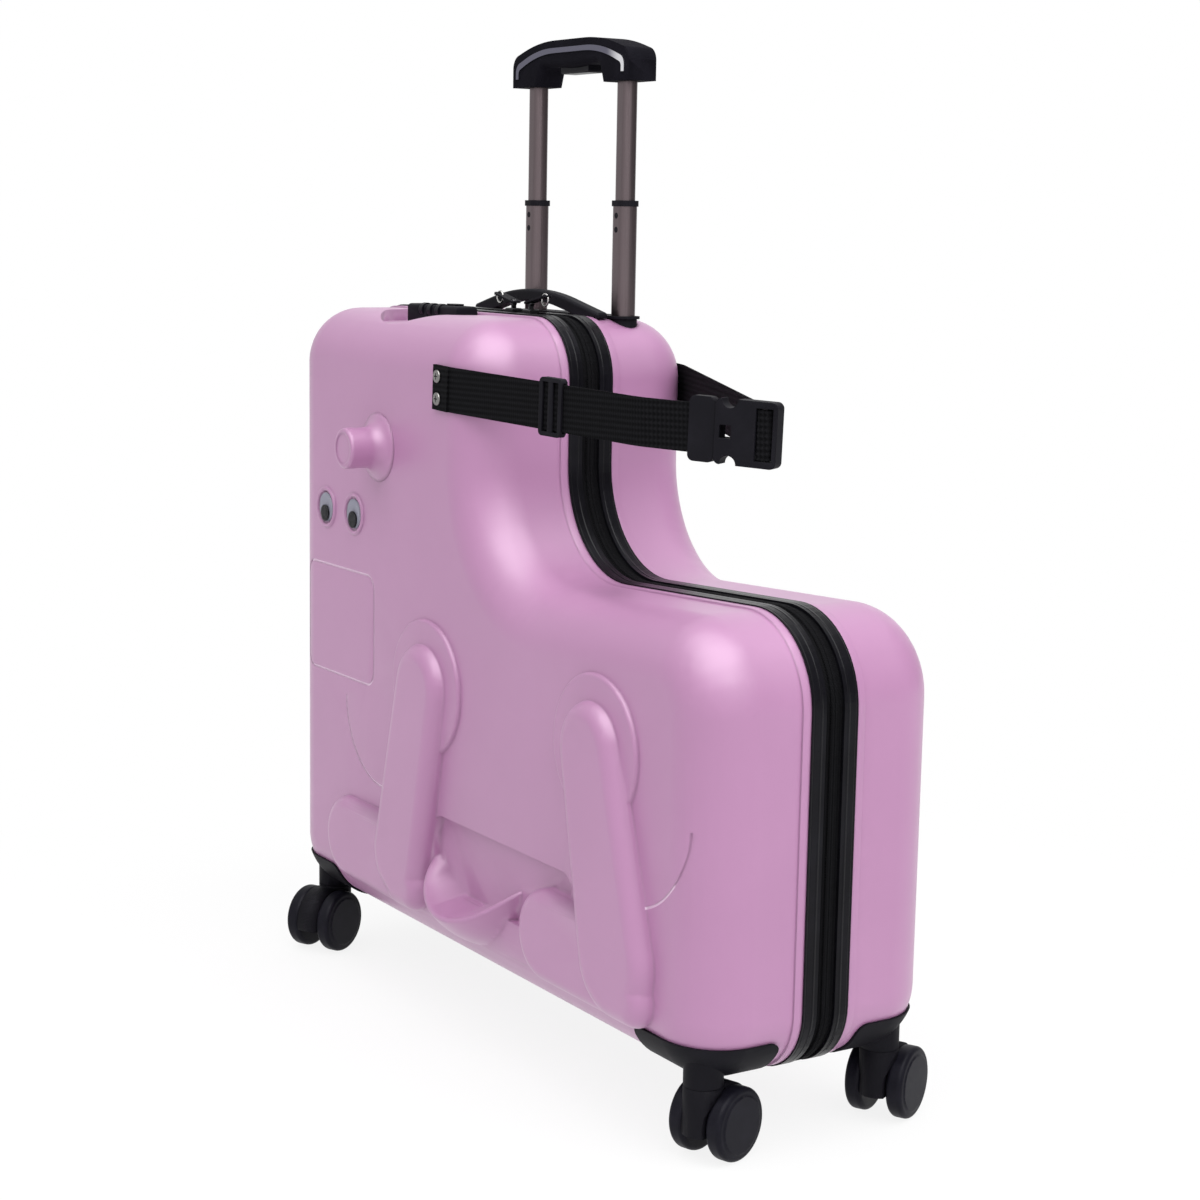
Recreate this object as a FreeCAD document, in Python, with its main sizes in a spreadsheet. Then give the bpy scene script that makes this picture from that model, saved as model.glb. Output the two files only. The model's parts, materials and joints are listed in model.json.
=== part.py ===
import FreeCAD, Part
import math
import os
import types

import Sketcher

V = FreeCAD.Vector
os.makedirs("parts", exist_ok=True)
doc = FreeCAD.newDocument("ride_on_suitcase")

# Driving sizes in millimetres and degrees. X runs along the case with the seat at +X,
# Y across it, Z up from the floor.
SIZES = {
    # Outline of the case in side view
    "case_length": 701.0,
    "case_half_width": 113.0,
    "case_bottom": 61.0,
    "case_top": 620.0,
    "tall_length": 354.0,
    "seat_inner": 403.0,
    "seat_outer": 418.5,
    "round_bottom": 54.0,
    "round_seat_end": 71.0,
    "round_seat_inner": 90.0,
    "round_top": 53.0,
    "edge_round": 48.0,
    "shell_wall": 2.4,
    "shell_step": 1.6,
    "flange_width": 7.6,
    # Zip band between the two halves
    "band_half_width": 21.4,
    "binding_width": 13.0,
    "binding_proud": 1.2,
    "binding_depth": 2.6,
    "tape_sunk": 1.2,
    "tape_thickness": 1.6,
    "coil_width": 3.4,
    "coil_height": 1.8,
    "parting": 0.4,
    "hinge_leaf_thickness": 1.0,
    "hinge_leaf_width": 12.0,
    "hinge_leaf_rise": 64.0,
    "hinge_leaf_length": 430.0,
    "divider_thickness": 1.0,
    "divider_gap": 0.3,
    # Moulded legs and feet on each side
    "leg_height": 16.0,
    "leg_edge": 15.0,
    "foot_height": 12.0,
    "foot_edge": 11.0,
    "halo_height": 4.0,
    "halo_edge": 3.0,
    "relief_root": 9.0,
    "front_leg_top_in": 275.5,
    "front_leg_foot_in": 238.5,
    "front_leg_width": 39.0,
    "front_leg_foot_width": 43.0,
    "front_toe_in": 132.5,
    "rear_leg_top_in": 150.5,
    "rear_leg_foot_in": 110.5,
    "rear_leg_width": 39.0,
    "rear_leg_foot_width": 47.0,
    "rear_toe_in": 214.5,
    "leg_top_rise": 238.0,
    "leg_foot_rise": 81.0,
    "foot_rise": 72.0,
    "foot_width": 38.0,
    "halo_width": 60.0,
    "halo_low_width": 55.0,
    "halo_low_rise": 232.0,
    "heel_round": 22.0,
    # Foot rest between the legs
    "recess_depth": 8.0,
    "recess_left_gap": 50.0,
    "recess_right_gap": 74.0,
    "recess_rise": 66.0,
    "recess_height": 63.0,
    "recess_round": 14.0,
    "pedal_run": 118.0,
    "pedal_sunk": 28.0,
    "pedal_rise": 101.0,
    "pedal_radius": 75.7,
    "pedal_dish_radius": 104.0,
    "pedal_dish_rise": 67.0,
    "pedal_dish_tilt": 12.0,
    "pedal_dish_length": 160.0,
    "pedal_rim": 2.5,
    # Face and chest lines
    "groove_width": 2.2,
    "groove_depth": 1.2,
    "panel_in": 34.5,
    "panel_length": 139.0,
    "panel_drop": 340.0,
    "panel_height": 103.0,
    "panel_round": 15.0,
    "chest_in": 190.5,
    "chest_rise": 204.0,
    "hip_in": 100.5,
    "hip_rise": 199.0,
    "arc_radius": 74.0,
    "eye_front_in": 76.0,
    "eye_spacing": 57.0,
    "eye_drop": 185.0,
    "eye_ring_radius": 17.4,
    "eye_ring_wire": 2.1,
    "dome_radius": 15.0,
    "dome_height": 4.8,
    "dome_wall": 1.2,
    "eye_white_thickness": 0.8,
    "pupil_radius": 7.6,
    "pupil_thickness": 1.4,
    "pupil_lift": 1.2,
    "pupil_swing": 5.4,
    "peg_in": 180.0,
    "peg_drop": 120.0,
    "peg_base_radius": 31.0,
    "peg_radius": 18.0,
    "peg_length": 35.0,
    "peg_lip": 0.4,
    "peg_flare": 5.0,
    "peg_flare_round": 14.0,
    "peg_cap_radius": 13.6,
    "peg_cap_depth": 0.9,
    # Combination lock on the near half
    "lock_in": 163.5,
    "lock_length": 92.0,
    "lock_width": 21.0,
    "lock_near_y": 51.0,
    "lock_height": 16.5,
    "lock_seat_sunk": 11.5,
    "lock_seat_radius": 70.0,
    "lock_seat_y": 24.0,
    "lock_round": 3.0,
    "dial_radius": 6.2,
    "dial_width": 6.0,
    "dial_pitch": 15.0,
    "dial_first_run": 27.0,
    "dial_axis_y": 46.4,
    "dial_axis_lift": 11.6,
    "dial_gap": 0.5,
    "dial_pin_radius": 1.5,
    "release_length": 15.0,
    "release_width": 9.0,
    "release_height": 3.0,
    "release_run": 71.0,
    "release_well": 1.5,
    # Zip sliders
    "slider_length": 13.0,
    "slider_width": 10.0,
    "slider_height": 3.4,
    "slider_front_in": 222.5,
    "slider_spacing": 30.0,
    "slider_gap": 0.4,
    "slider_round": 1.2,
    "bridge_radius": 2.6,
    "bridge_width": 4.0,
    "bridge_post": 2.4,
    "bridge_rise": 4.9,
    "pull_length": 30.0,
    "pull_width": 10.0,
    "pull_thickness": 1.8,
    "pull_tilt": 12.0,
    # Pull-out handle in the far half
    "trolley_in": 240.0,
    "trolley_spacing": 148.0,
    "trolley_y": 57.0,
    "top_tube_half_flat": 3.0,
    "top_tube_radius": 7.0,
    "tube_wall": 1.5,
    "tube_gap": 0.3,
    "outer_tube_rise": 7.0,
    "mid_tube_sunk": 68.0,
    "mid_tube_out": 95.0,
    "top_tube_sunk": 47.0,
    "collar_height": 5.0,
    "collar_proud": 1.2,
    "bezel_length": 180.0,
    "bezel_width": 25.0,
    "bezel_thickness": 2.4,
    "bezel_round": 12.0,
    "grip_length": 194.0,
    "top_tube_out": 106.0,
    "grip_height": 39.0,
    "grip_shoulder_drop": 13.0,
    "grip_shoulder_run": 45.0,
    "grip_leg": 44.0,
    "grip_under_rise": 14.0,
    "grip_belly": 3.0,
    "grip_half_depth": 14.0,
    "grip_edge": 6.0,
    "grip_socket": 10.0,
    "trim_width": 4.5,
    "trim_drop": 6.6,
    "trim_inset": 6.6,
    "trim_tail": 12.0,
    "trim_thickness": 1.0,
    "button_length": 46.0,
    "button_half_depth": 8.0,
    "button_height": 7.0,
    "button_proud": 4.5,
    "button_gap": 0.4,
    "button_round": 2.0,
    # Carry handle on the top
    "carry_in": 99.5,
    "carry_length": 215.0,
    "carry_apex_run": 98.0,
    "carry_y": 35.4,
    "carry_half_width": 6.0,
    "carry_rise": 30.0,
    "carry_arch_radius": 290.0,
    "carry_under_rise": 18.0,
    "carry_under_radius": 240.0,
    "carry_heel": 5.0,
    "carry_foot": 26.0,
    "carry_edge": 2.6,
    # Safety strap
    "webbing_width": 38.0,
    "webbing_thickness": 1.6,
    "strap_start_back": 67.5,
    "near_strap_bend_back": 41.5,
    "far_strap_bend_back": 30.5,
    "strap_drop": 59.0,
    "strap_fall": 2.4,
    "strap_turn": 60.0,
    "near_strap_straight": 45.0,
    "buckle_yaw": 28.0,
    "buckle_run": 226.5,
    "buckle_y": -53.0,
    "near_strap_tail": 18.0,
    "strap_fold": 25.0,
    "strap_gap": 0.5,
    "buckle_height": 50.0,
    "plug_ladder_length": 22.0,
    "plug_thickness": 7.0,
    "plug_tongue_length": 26.0,
    "plug_tongue_height": 32.0,
    "plug_tongue_thickness": 5.6,
    "plug_prong_height": 9.0,
    "plug_travel": 26.0,
    "socket_start": 23.0,
    "socket_length": 34.0,
    "socket_bar_length": 18.0,
    "socket_bar_radius": 2.0,
    "socket_bar_run": 9.0,
    "socket_rim": 3.7,
    "socket_window": 10.0,
    "socket_window_start": 4.0,
    "socket_thickness": 11.0,
    "socket_notch_radius": 7.0,
    "buckle_round": 5.0,
    "adjuster_run": 118.0,
    "adjuster_length": 27.0,
    "adjuster_height": 47.0,
    "adjuster_thickness": 6.4,
    "adjuster_round": 2.0,
    "adjuster_slot": 7.0,
    "rivet_radius": 5.6,
    "rivet_height": 1.8,
    "rivet_spacing": 19.0,
    "rivet_run": 8.5,
    # Casters
    "caster_in": 36.5,
    "caster_sunk": 28.0,
    "bracket_plate": 2.2,
    "bracket_wing": 58.0,
    "bracket_end_wing": 48.0,
    "bracket_rise": 34.0,
    "bracket_tip_round": 10.0,
    "bracket_reach": 140.0,
    "neck_radius": 15.5,
    "neck_drop": 0.5,
    "neck_height": 35.5,
    "swivel_gap": 0.5,
    "swivel_pin_radius": 5.0,
    "swivel_pin_height": 4.6,
    "running_gap": 0.06,
    "wheel_radius": 29.0,
    "wheel_width": 14.0,
    "wheel_trail": 17.0,
    "wheel_round": 4.0,
    "wheel_disc_radius": 23.0,
    "wheel_disc_proud": 0.9,
    "fork_half_web": 10.0,
    "fork_low": 22.0,
    "fork_web_radius": 30.0,
    "wheel_side_gap": 0.7,
    "wheel_well_gap": 1.2,
    "axle_radius": 3.0,
    "axle_depth": 11.5,
    "near_front_swivel": 207.0,
    "near_rear_swivel": 18.0,
    "far_front_swivel": 200.0,
    "far_rear_swivel": 27.0,
}

sheet = doc.addObject("Spreadsheet::Sheet", "Sizes")
for row, (alias, number) in enumerate(SIZES.items(), 1):
    sheet.set(f"A{row}", alias)
    sheet.set(f"B{row}", str(number))
    sheet.setAlias(f"B{row}", alias)
doc.recompute()


class Dim:
    """A size: its value now, and the sheet expression that drives it."""

    def __init__(self, value, text):
        self.value = value
        self.text = text

    def __add__(self, other):
        other = dim(other)
        return Dim(self.value + other.value, f"({self.text} + {other.text})")

    def __sub__(self, other):
        other = dim(other)
        return Dim(self.value - other.value, f"({self.text} - {other.text})")

    def __mul__(self, other):
        other = dim(other)
        return Dim(self.value * other.value, f"({self.text} * {other.text})")

    def __truediv__(self, other):
        other = dim(other)
        return Dim(self.value / other.value, f"({self.text} / {other.text})")

    def __radd__(self, other):
        return dim(other) + self

    def __rsub__(self, other):
        return dim(other) - self

    def __rmul__(self, other):
        return dim(other) * self

    def __neg__(self):
        return dim(0) - self


def dim(value):
    """A plain number as a size."""
    if isinstance(value, Dim):
        return value
    return Dim(float(value), f"({float(value)!r})")


def refresh():
    """Work out everything that has changed, and stop at the first failure."""
    doc.recompute()
    for item in doc.Objects:
        if "Invalid" in item.State or "Error" in item.State:
            raise SystemExit(f"{item.Name} is in state {item.State}: {item.getStatusString()}")


S = types.SimpleNamespace(**{name: Dim(value, f"Sizes.{name}") for name, value in SIZES.items()})
NODES = []

# Places worked out from the sizes: x from the ends of the case, z from its bottom or its top
case_front = -S.case_length / 2
case_end = S.case_length / 2
P = types.SimpleNamespace()
P.tall_end = case_front + S.tall_length
P.hinge_leaf_low = S.case_bottom + S.hinge_leaf_rise
P.front_leg_top_x = case_front + S.front_leg_top_in
P.front_leg_foot_x = case_front + S.front_leg_foot_in
P.front_toe_x = case_front + S.front_toe_in
P.rear_leg_top_x = case_end - S.rear_leg_top_in
P.rear_leg_foot_x = case_end - S.rear_leg_foot_in
P.rear_toe_x = case_end - S.rear_toe_in
P.leg_top_z = S.case_bottom + S.leg_top_rise
P.leg_foot_z = S.case_bottom + S.leg_foot_rise
P.foot_z = S.case_bottom + S.foot_rise
P.halo_low_z = S.case_bottom + S.halo_low_rise
P.recess_left = P.front_leg_foot_x + S.recess_left_gap
P.recess_right = P.rear_leg_foot_x - S.recess_right_gap
P.recess_low = S.case_bottom + S.recess_rise
P.recess_top = P.recess_low + S.recess_height
P.pedal_x = P.front_leg_foot_x + S.pedal_run
P.pedal_y = S.case_half_width - S.pedal_sunk
P.pedal_z = S.case_bottom + S.pedal_rise
P.pedal_dish_z = P.pedal_z + S.pedal_dish_rise
P.panel_left = case_front + S.panel_in
P.panel_right = P.panel_left + S.panel_length
P.panel_low = S.case_top - S.panel_drop
P.panel_high = P.panel_low + S.panel_height
P.chest_x = case_front + S.chest_in
P.chest_z = S.case_bottom + S.chest_rise
P.hip_x = case_end - S.hip_in
P.hip_z = S.case_bottom + S.hip_rise
P.eye_front_x = case_front + S.eye_front_in
P.eye_rear_x = P.eye_front_x + S.eye_spacing
P.eye_z = S.case_top - S.eye_drop
P.peg_x = case_front + S.peg_in
P.peg_z = S.case_top - S.peg_drop
P.lock_x = case_front + S.lock_in
P.lock_seat_z = S.case_top - S.lock_seat_sunk
P.dial_first_x = P.lock_x - S.lock_length / 2 + S.dial_first_run
P.release_x = P.lock_x - S.lock_length / 2 + S.release_run
P.slider_front_x = case_front + S.slider_front_in
P.slider_rear_x = P.slider_front_x + S.slider_spacing
P.trolley_x = case_front + S.trolley_in
P.outer_tube_low = S.case_bottom + S.outer_tube_rise
P.mid_tube_low = S.case_top - S.mid_tube_sunk
P.mid_tube_top = S.case_top + S.mid_tube_out
P.top_tube_low = P.mid_tube_top - S.top_tube_sunk
P.grip_low = P.mid_tube_top + S.top_tube_out
P.grip_top = P.grip_low + S.grip_height
P.grip_shoulder = P.grip_top - S.grip_shoulder_drop
P.grip_under = P.grip_low + S.grip_under_rise
P.carry_left = case_front + S.carry_in
P.carry_right = P.carry_left + S.carry_length
P.carry_apex_x = P.carry_left + S.carry_apex_run
P.strap_start_x = P.tall_end - S.strap_start_back
P.near_strap_bend_x = P.tall_end - S.near_strap_bend_back
P.far_strap_bend_x = P.tall_end - S.far_strap_bend_back
P.strap_z = S.case_top - S.strap_drop
P.buckle_x = P.tall_end + S.buckle_run
P.rivet_x = P.strap_start_x + S.rivet_run
P.caster_x = case_end - S.caster_in
P.caster_y = S.case_half_width - S.caster_sunk
P.bracket_inner_x = P.caster_x - S.bracket_wing
P.bracket_inner_y = P.caster_y - S.bracket_end_wing
P.bracket_top = S.case_bottom + S.bracket_rise
P.neck_low = S.case_bottom - S.neck_drop
P.neck_high = P.neck_low + S.neck_height
P.swivel_pin_high = P.neck_low + S.swivel_pin_height


def node(item, label):
    """Register a finished piece under its node name."""
    item.Label = label
    NODES.append(item)
    return item


def bind(item, prop, value):
    item.setExpression(prop, dim(value).text)


def place(item, x=0, y=0, z=0, yaw=0, pitch=0, roll=0):
    """Put a piece at x, y, z, turned by yaw, pitch and roll in degrees."""
    item.Placement = FreeCAD.Placement(V(), FreeCAD.Rotation(yaw, pitch, roll))
    for axis, value in zip("xyz", (x, y, z)):
        bind(item, f"Placement.Base.{axis}", value)
    return item


def new_body(name):
    return doc.addObject("PartDesign::Body", name)


def sketch(body, plane, lift=0):
    """A sketch on one of the body's origin planes, lifted along its normal."""
    item = body.newObject("Sketcher::SketchObject", f"{body.Name}_sketch")
    for feature in body.Origin.OriginFeatures:
        if feature.Role == plane:
            item.AttachmentSupport = [(feature, "")]
    item.MapMode = "FlatFace"
    bind(item, "AttachmentOffset.Base.z", lift)
    return item


def drive(item, constraint, value):
    index = item.addConstraint(constraint)
    item.setExpression(f"Constraints[{index}]", dim(value).text)


def fix(item, geometry, spot, x, y):
    """Tie one point of the sketch to x, y."""
    for kind, value in (("DistanceX", dim(x)), ("DistanceY", dim(y))):
        drive(item, Sketcher.Constraint(kind, -1, 1, geometry, spot, value.value), value)


def link(item, first, second, smooth):
    """Join the end of one piece of outline to the start of the next."""
    kind = "Tangent" if smooth else "Coincident"
    item.addConstraint(Sketcher.Constraint(kind, *first, *second))


def outline(item, corners, closed=True):
    """Draw straight sides through corners (x, y, radius), rounded where radius isn't 0."""
    count = len(corners)
    spots = [V(dim(x).value, dim(y).value) for x, y, _ in corners]
    trims = []
    for index, (_, _, radius) in enumerate(corners):
        here = spots[index]
        radius = dim(radius).value
        ends = not closed and index in (0, count - 1)
        if ends or radius == 0:
            trims.append((here, here, None))
            continue
        back = (spots[index - 1] - here).normalize()
        ahead = (spots[(index + 1) % count] - here).normalize()
        half = back.getAngle(ahead) / 2
        run = radius / math.tan(half)
        centre = here + (back + ahead).normalize() * (radius / math.sin(half))
        trims.append((here + back * run, here + ahead * run, centre))
    sides = []
    for index in range(count if closed else count - 1):
        start = trims[index][1]
        stop = trims[(index + 1) % count][0]
        sides.append(item.addGeometry(Part.LineSegment(start, stop)))
    for index, (x, y, radius) in enumerate(corners):
        before = sides[index - 1] if closed or index > 0 else None
        after = sides[index] if index < len(sides) else None
        entry, leave, centre = trims[index]
        if centre is None:
            if before is not None and after is not None:
                link(item, (before, 2), (after, 1), False)
            if after is not None:
                fix(item, after, 1, x, y)
            else:
                fix(item, before, 2, x, y)
            continue
        forward = (entry - centre).cross(leave - centre).z > 0
        first, last = (entry, leave) if forward else (leave, entry)
        angles = [math.atan2(end.y - centre.y, end.x - centre.x) for end in (first, last)]
        if angles[1] < angles[0]:
            angles[1] += 2 * math.pi
        circle = Part.Circle(centre, V(0, 0, 1), dim(radius).value)
        arc = item.addGeometry(Part.ArcOfCircle(circle, *angles))
        mark = item.addGeometry(Part.Point(spots[index]), True)
        link(item, (before, 2), (arc, 1 if forward else 2), True)
        link(item, (arc, 2 if forward else 1), (after, 1), True)
        fix(item, mark, 1, x, y)
        item.addConstraint(Sketcher.Constraint("PointOnObject", mark, 1, before))
        item.addConstraint(Sketcher.Constraint("PointOnObject", mark, 1, after))
        drive(item, Sketcher.Constraint("Radius", arc, dim(radius).value), radius)
    return item


def capsule(item, first, second):
    """Draw two rounds (x, y, radius) joined by their outer tangents."""
    ends = [tuple(dim(value) for value in end) for end in (first, second)]
    centres = [V(x.value, y.value) for x, y, _ in ends]
    radii = [radius.value for _, _, radius in ends]
    along = centres[1] - centres[0]
    turn = math.atan2(along.y, along.x)
    lean = math.acos((radii[0] - radii[1]) / along.Length)
    up = V(0, 0, 1)
    tail = Part.ArcOfCircle(Part.Circle(centres[0], up, radii[0]), turn + lean, turn - lean + 2 * math.pi)
    nose = Part.ArcOfCircle(Part.Circle(centres[1], up, radii[1]), turn - lean, turn + lean)
    tail_geo = item.addGeometry(tail)
    nose_geo = item.addGeometry(nose)
    low = item.addGeometry(Part.LineSegment(tail.EndPoint, nose.StartPoint))
    high = item.addGeometry(Part.LineSegment(nose.EndPoint, tail.StartPoint))
    link(item, (tail_geo, 2), (low, 1), True)
    link(item, (low, 2), (nose_geo, 1), True)
    link(item, (nose_geo, 2), (high, 1), True)
    link(item, (high, 2), (tail_geo, 1), True)
    for geometry, (x, y, radius) in zip((tail_geo, nose_geo), ends):
        fix(item, geometry, 3, x, y)
        drive(item, Sketcher.Constraint("Radius", geometry, radius.value), radius)
    return item


def pad(body, item, length, backward=False):
    feature = body.newObject("PartDesign::Pad", f"{body.Name}_pad")
    feature.Profile = item
    feature.Reversed = backward
    bind(feature, "Length", length)
    refresh()
    return feature


def revolve(body, item, axis):
    feature = body.newObject("PartDesign::Revolution", f"{body.Name}_turn")
    feature.Profile = item
    feature.ReferenceAxis = (item, [axis])
    feature.Angle = 360
    refresh()
    return feature


def edge_ends(edge):
    return [vertex.Point for vertex in edge.Vertexes]


def edge_middle(edge):
    first, last = edge.ParameterRange
    return [edge.valueAt((first + last) / 2)]


def edges_where(shape, test, spots=edge_ends):
    """Names of the edges whose spots, their ends unless told, all pass the test."""
    names = []
    for index, edge in enumerate(shape.Edges, 1):
        if all(test(spot) for spot in spots(edge)):
            names.append(f"Edge{index}")
    return names


def soften(body, names, radius):
    """Round the named edges of the body's last feature."""
    base = body.Tip
    feature = body.newObject("PartDesign::Fillet", f"{body.Name}_round")
    feature.Base = (base, names)
    bind(feature, "Radius", radius)
    refresh()
    return feature


def box(name, low, span):
    item = doc.addObject("Part::Box", name)
    for prop, value in zip(("Length", "Width", "Height"), span):
        bind(item, prop, value)
    return place(item, *low)


def rod(name, axis, radius, length, x, y, z):
    """A cylinder that starts at x, y, z and runs along the axis."""
    item = doc.addObject("Part::Cylinder", name)
    bind(item, "Radius", radius)
    bind(item, "Height", length)
    pitch = 90 if axis == "x" else 0
    roll = -90 if axis == "y" else 0
    return place(item, x, y, z, 0, pitch, roll)


def fuse(name, *items):
    result = doc.addObject("Part::MultiFuse", name)
    result.Shapes = list(items)
    return result


def common(name, *items):
    result = doc.addObject("Part::MultiCommon", name)
    result.Shapes = list(items)
    return result


def cut(name, base, *tools):
    result = doc.addObject("Part::Cut", name)
    result.Base = base
    result.Tool = tools[0] if len(tools) == 1 else fuse(f"{name}_tools", *tools)
    return result


def group(name, *items):
    result = doc.addObject("Part::Compound", name)
    result.Links = list(items)
    return result


def round_edges(name, base, test, radius, spots=edge_ends):
    """Round a solid's edges whose spots pass the test."""
    refresh()
    numbers = [int(edge[4:]) for edge in edges_where(base.Shape, test, spots)]
    result = doc.addObject("Part::Fillet", name)
    result.Base = base
    result.Edges = [(number, radius.value, radius.value) for number in numbers]
    return result


def swing(item, x, y, turn):
    """Turn a finished piece by degrees about an upright line at x, y."""
    bend = math.radians(turn)
    place(
        item,
        x - x * math.cos(bend) + y * math.sin(bend),
        y - x * math.sin(bend) - y * math.cos(bend),
        0,
        turn,
    )
    return item


def near(value, target):
    return abs(value - dim(target).value) < 0.01


# Outline of the case, and solids padded from it away from the zip
seat_slope = (S.seat_outer - S.seat_inner) / (case_end - P.tall_end)
shell_top = S.case_top - S.shell_step
TAGS = {-1: "near", 1: "far"}
HALVES = (-1, 1)


def case_outline(off):
    """Corners of the side view, grown outward by off."""
    off = dim(off)
    rise = off * (seat_slope + 1)
    return [
        (case_front - off, S.case_bottom - off, S.round_bottom + off),
        (case_end + off, S.case_bottom - off, S.round_bottom + off),
        (case_end + off, S.seat_outer + rise, S.round_seat_end + off),
        (P.tall_end + off, S.seat_inner + rise, S.round_seat_inner - off),
        (P.tall_end + off, S.case_top + off, S.round_top + off),
        (case_front - off, S.case_top + off, S.round_top + off),
    ]


def case_solid(name, half, off, start, stop, edge=None):
    """The case outline between two distances from the middle, its outer edge rounded."""
    body = new_body(name)
    item = outline(sketch(body, "XZ_Plane", -half * dim(start)), case_outline(off))
    block = pad(body, item, dim(stop) - start, half > 0)
    if edge is not None:
        rim = edges_where(block.Shape, lambda point: near(point.y, half * dim(stop)))
        soften(body, rim[:1], edge)
    return body


def case_ring(name, half, outer, inner, start, stop):
    """A hoop along the case outline."""
    shell = case_solid(f"{name}_out", half, outer, start, stop)
    hollow = case_solid(f"{name}_in", half, inner, start, stop)
    return cut(name, shell, hollow)


def on_side(name, half, root, height, draw):
    """A pad on the side face: from root inside the face to height outside it."""
    body = new_body(name)
    item = sketch(body, "XZ_Plane", -half * (S.case_half_width - root))
    draw(item)
    pad(body, item, dim(height) + root, half > 0)
    return body


def relief(name, half, first, second, height, edge):
    """A rounded ridge on the side face, with the hollow that follows it inside."""
    ridge = on_side(name, half, S.relief_root, height, lambda item: capsule(item, first, second))
    crest = half * (S.case_half_width + height)
    soften(ridge, edges_where(ridge.Shape, lambda point: near(point.y, crest))[:1], edge)
    thin = [(x, z, radius - S.shell_wall) for x, z, radius in (first, second)]
    inside = on_side(
        f"{name}_hollow", half, S.relief_root, height - S.shell_wall, lambda item: capsule(item, *thin)
    )
    if edge.value > S.shell_wall.value * 2:
        floor = half * (S.case_half_width + height - S.shell_wall)
        soften(inside, edges_where(inside.Shape, lambda point: near(point.y, floor))[:1], edge - S.shell_wall)
    return ridge, inside


def side_rod(name, half, radius, length, x, z, start):
    """A cylinder square to the side face, from start outward."""
    low = half * dim(start) if half > 0 else half * (dim(start) + length)
    return rod(name, "y", radius, length, x, low, z)


def slab(name, half, low_x, low_y, low_z, span_x, span_y, span_z):
    """A box at a distance low_y from the middle, on one half."""
    y = dim(low_y) if half > 0 else -(dim(low_y) + span_y)
    return box(name, (low_x, y, low_z), (span_x, span_y, span_z))


def arc_groove(name, half, x, z, backward, below):
    """A quarter ring, cut below its centre, that marks the chest or the hip."""
    floor = S.case_half_width - S.edge_round / 2
    depth = S.edge_round / 2 + S.shell_wall
    ring = cut(
        name,
        side_rod(f"{name}_out", half, S.arc_radius, depth, x, z, floor),
        side_rod(f"{name}_in", half, S.arc_radius - S.groove_width, depth, x, z, floor),
    )
    reach = S.arc_radius * 2
    start = dim(x) - reach if backward else dim(x)
    inner = S.case_half_width - reach
    window = slab(f"{name}_window", half, start, inner, dim(z) - reach, reach, reach * 2, reach)
    return cut(f"{name}_mark", common(f"{name}_arc", ring, window), below)


def panel_prism(name, half, inset):
    """The chest panel's rounded outline, grown inward by inset."""
    corners = [
        (P.panel_left + inset, P.panel_low + inset, S.panel_round - inset),
        (P.panel_right - inset, P.panel_low + inset, S.panel_round - inset),
        (P.panel_right - inset, P.panel_high - inset, S.panel_round - inset),
        (P.panel_left + inset, P.panel_high - inset, S.panel_round - inset),
    ]
    return on_side(name, half, S.edge_round / 2, S.shell_wall, lambda item: outline(item, corners))


def recess_prism(name, half, grow, depth):
    """The sunk field behind the foot rest, its outline grown by grow."""
    corners = [
        (P.recess_left - grow, P.recess_low - grow, S.recess_round + grow),
        (P.recess_right + grow, P.recess_low - grow, S.recess_round + grow),
        (P.recess_right + grow, P.recess_top + grow, S.recess_round + grow),
        (P.recess_left - grow, P.recess_top + grow, S.recess_round + grow),
    ]
    return on_side(name, half, depth, S.recess_depth, lambda item: outline(item, corners))


def pedal(name, half):
    """The bowl-shaped foot rest: a ball cut by the wall behind and dished on top."""
    ball = doc.addObject("Part::Sphere", f"{name}_ball")
    bind(ball, "Radius", S.pedal_radius)
    place(ball, P.pedal_x, half * P.pedal_y, P.pedal_z)
    wall = S.case_half_width - S.recess_depth - S.shell_wall / 2
    reach = S.pedal_radius * 2
    low_x = P.pedal_x - reach
    low_z = P.pedal_z - reach
    front = slab(f"{name}_front", half, low_x, wall, low_z, reach * 2, reach, reach * 2)
    dish = doc.addObject("Part::Cylinder", f"{name}_dish")
    bind(dish, "Radius", S.pedal_dish_radius)
    bind(dish, "Height", S.pedal_dish_length)
    place(dish, P.pedal_x, half * (wall - S.pedal_dish_length / 4), P.pedal_dish_z + S.pedal_dish_length / 12)
    dish.Placement.Rotation = FreeCAD.Rotation(0, 0, -half * 90 - half * S.pedal_dish_tilt.value)
    bowl = cut(f"{name}_dished", common(f"{name}_bowl", ball, front), dish)
    return round_edges(name, bowl, lambda point: not near(point.y, half * wall), S.pedal_rim, edge_middle)


front_leg = (
    (P.front_leg_top_x, P.leg_top_z, S.front_leg_width),
    (P.front_leg_foot_x, P.leg_foot_z, S.front_leg_foot_width),
)
rear_leg = (
    (P.rear_leg_top_x, P.leg_top_z, S.rear_leg_width),
    (P.rear_leg_foot_x, P.leg_foot_z, S.rear_leg_foot_width),
)
front_foot = (
    (P.front_toe_x, P.foot_z, S.foot_width),
    (P.front_leg_foot_x, P.foot_z, S.foot_width),
)
rear_foot = (
    (P.rear_toe_x, P.foot_z, S.foot_width),
    (P.rear_leg_foot_x, P.foot_z, S.foot_width),
)
heel_z = P.foot_z - S.foot_width + S.heel_round
front_heel = (
    (P.front_leg_foot_x, heel_z, S.heel_round),
    (P.front_leg_foot_x + S.front_leg_foot_width - S.heel_round, heel_z, S.heel_round),
)
rear_heel = (
    (P.rear_leg_foot_x, heel_z, S.heel_round),
    (P.rear_leg_foot_x + S.rear_leg_foot_width - S.heel_round, heel_z, S.heel_round),
)
front_halo = (
    (P.front_leg_top_x, P.leg_top_z, S.halo_width),
    (P.front_leg_top_x, P.halo_low_z, S.halo_low_width),
)
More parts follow.
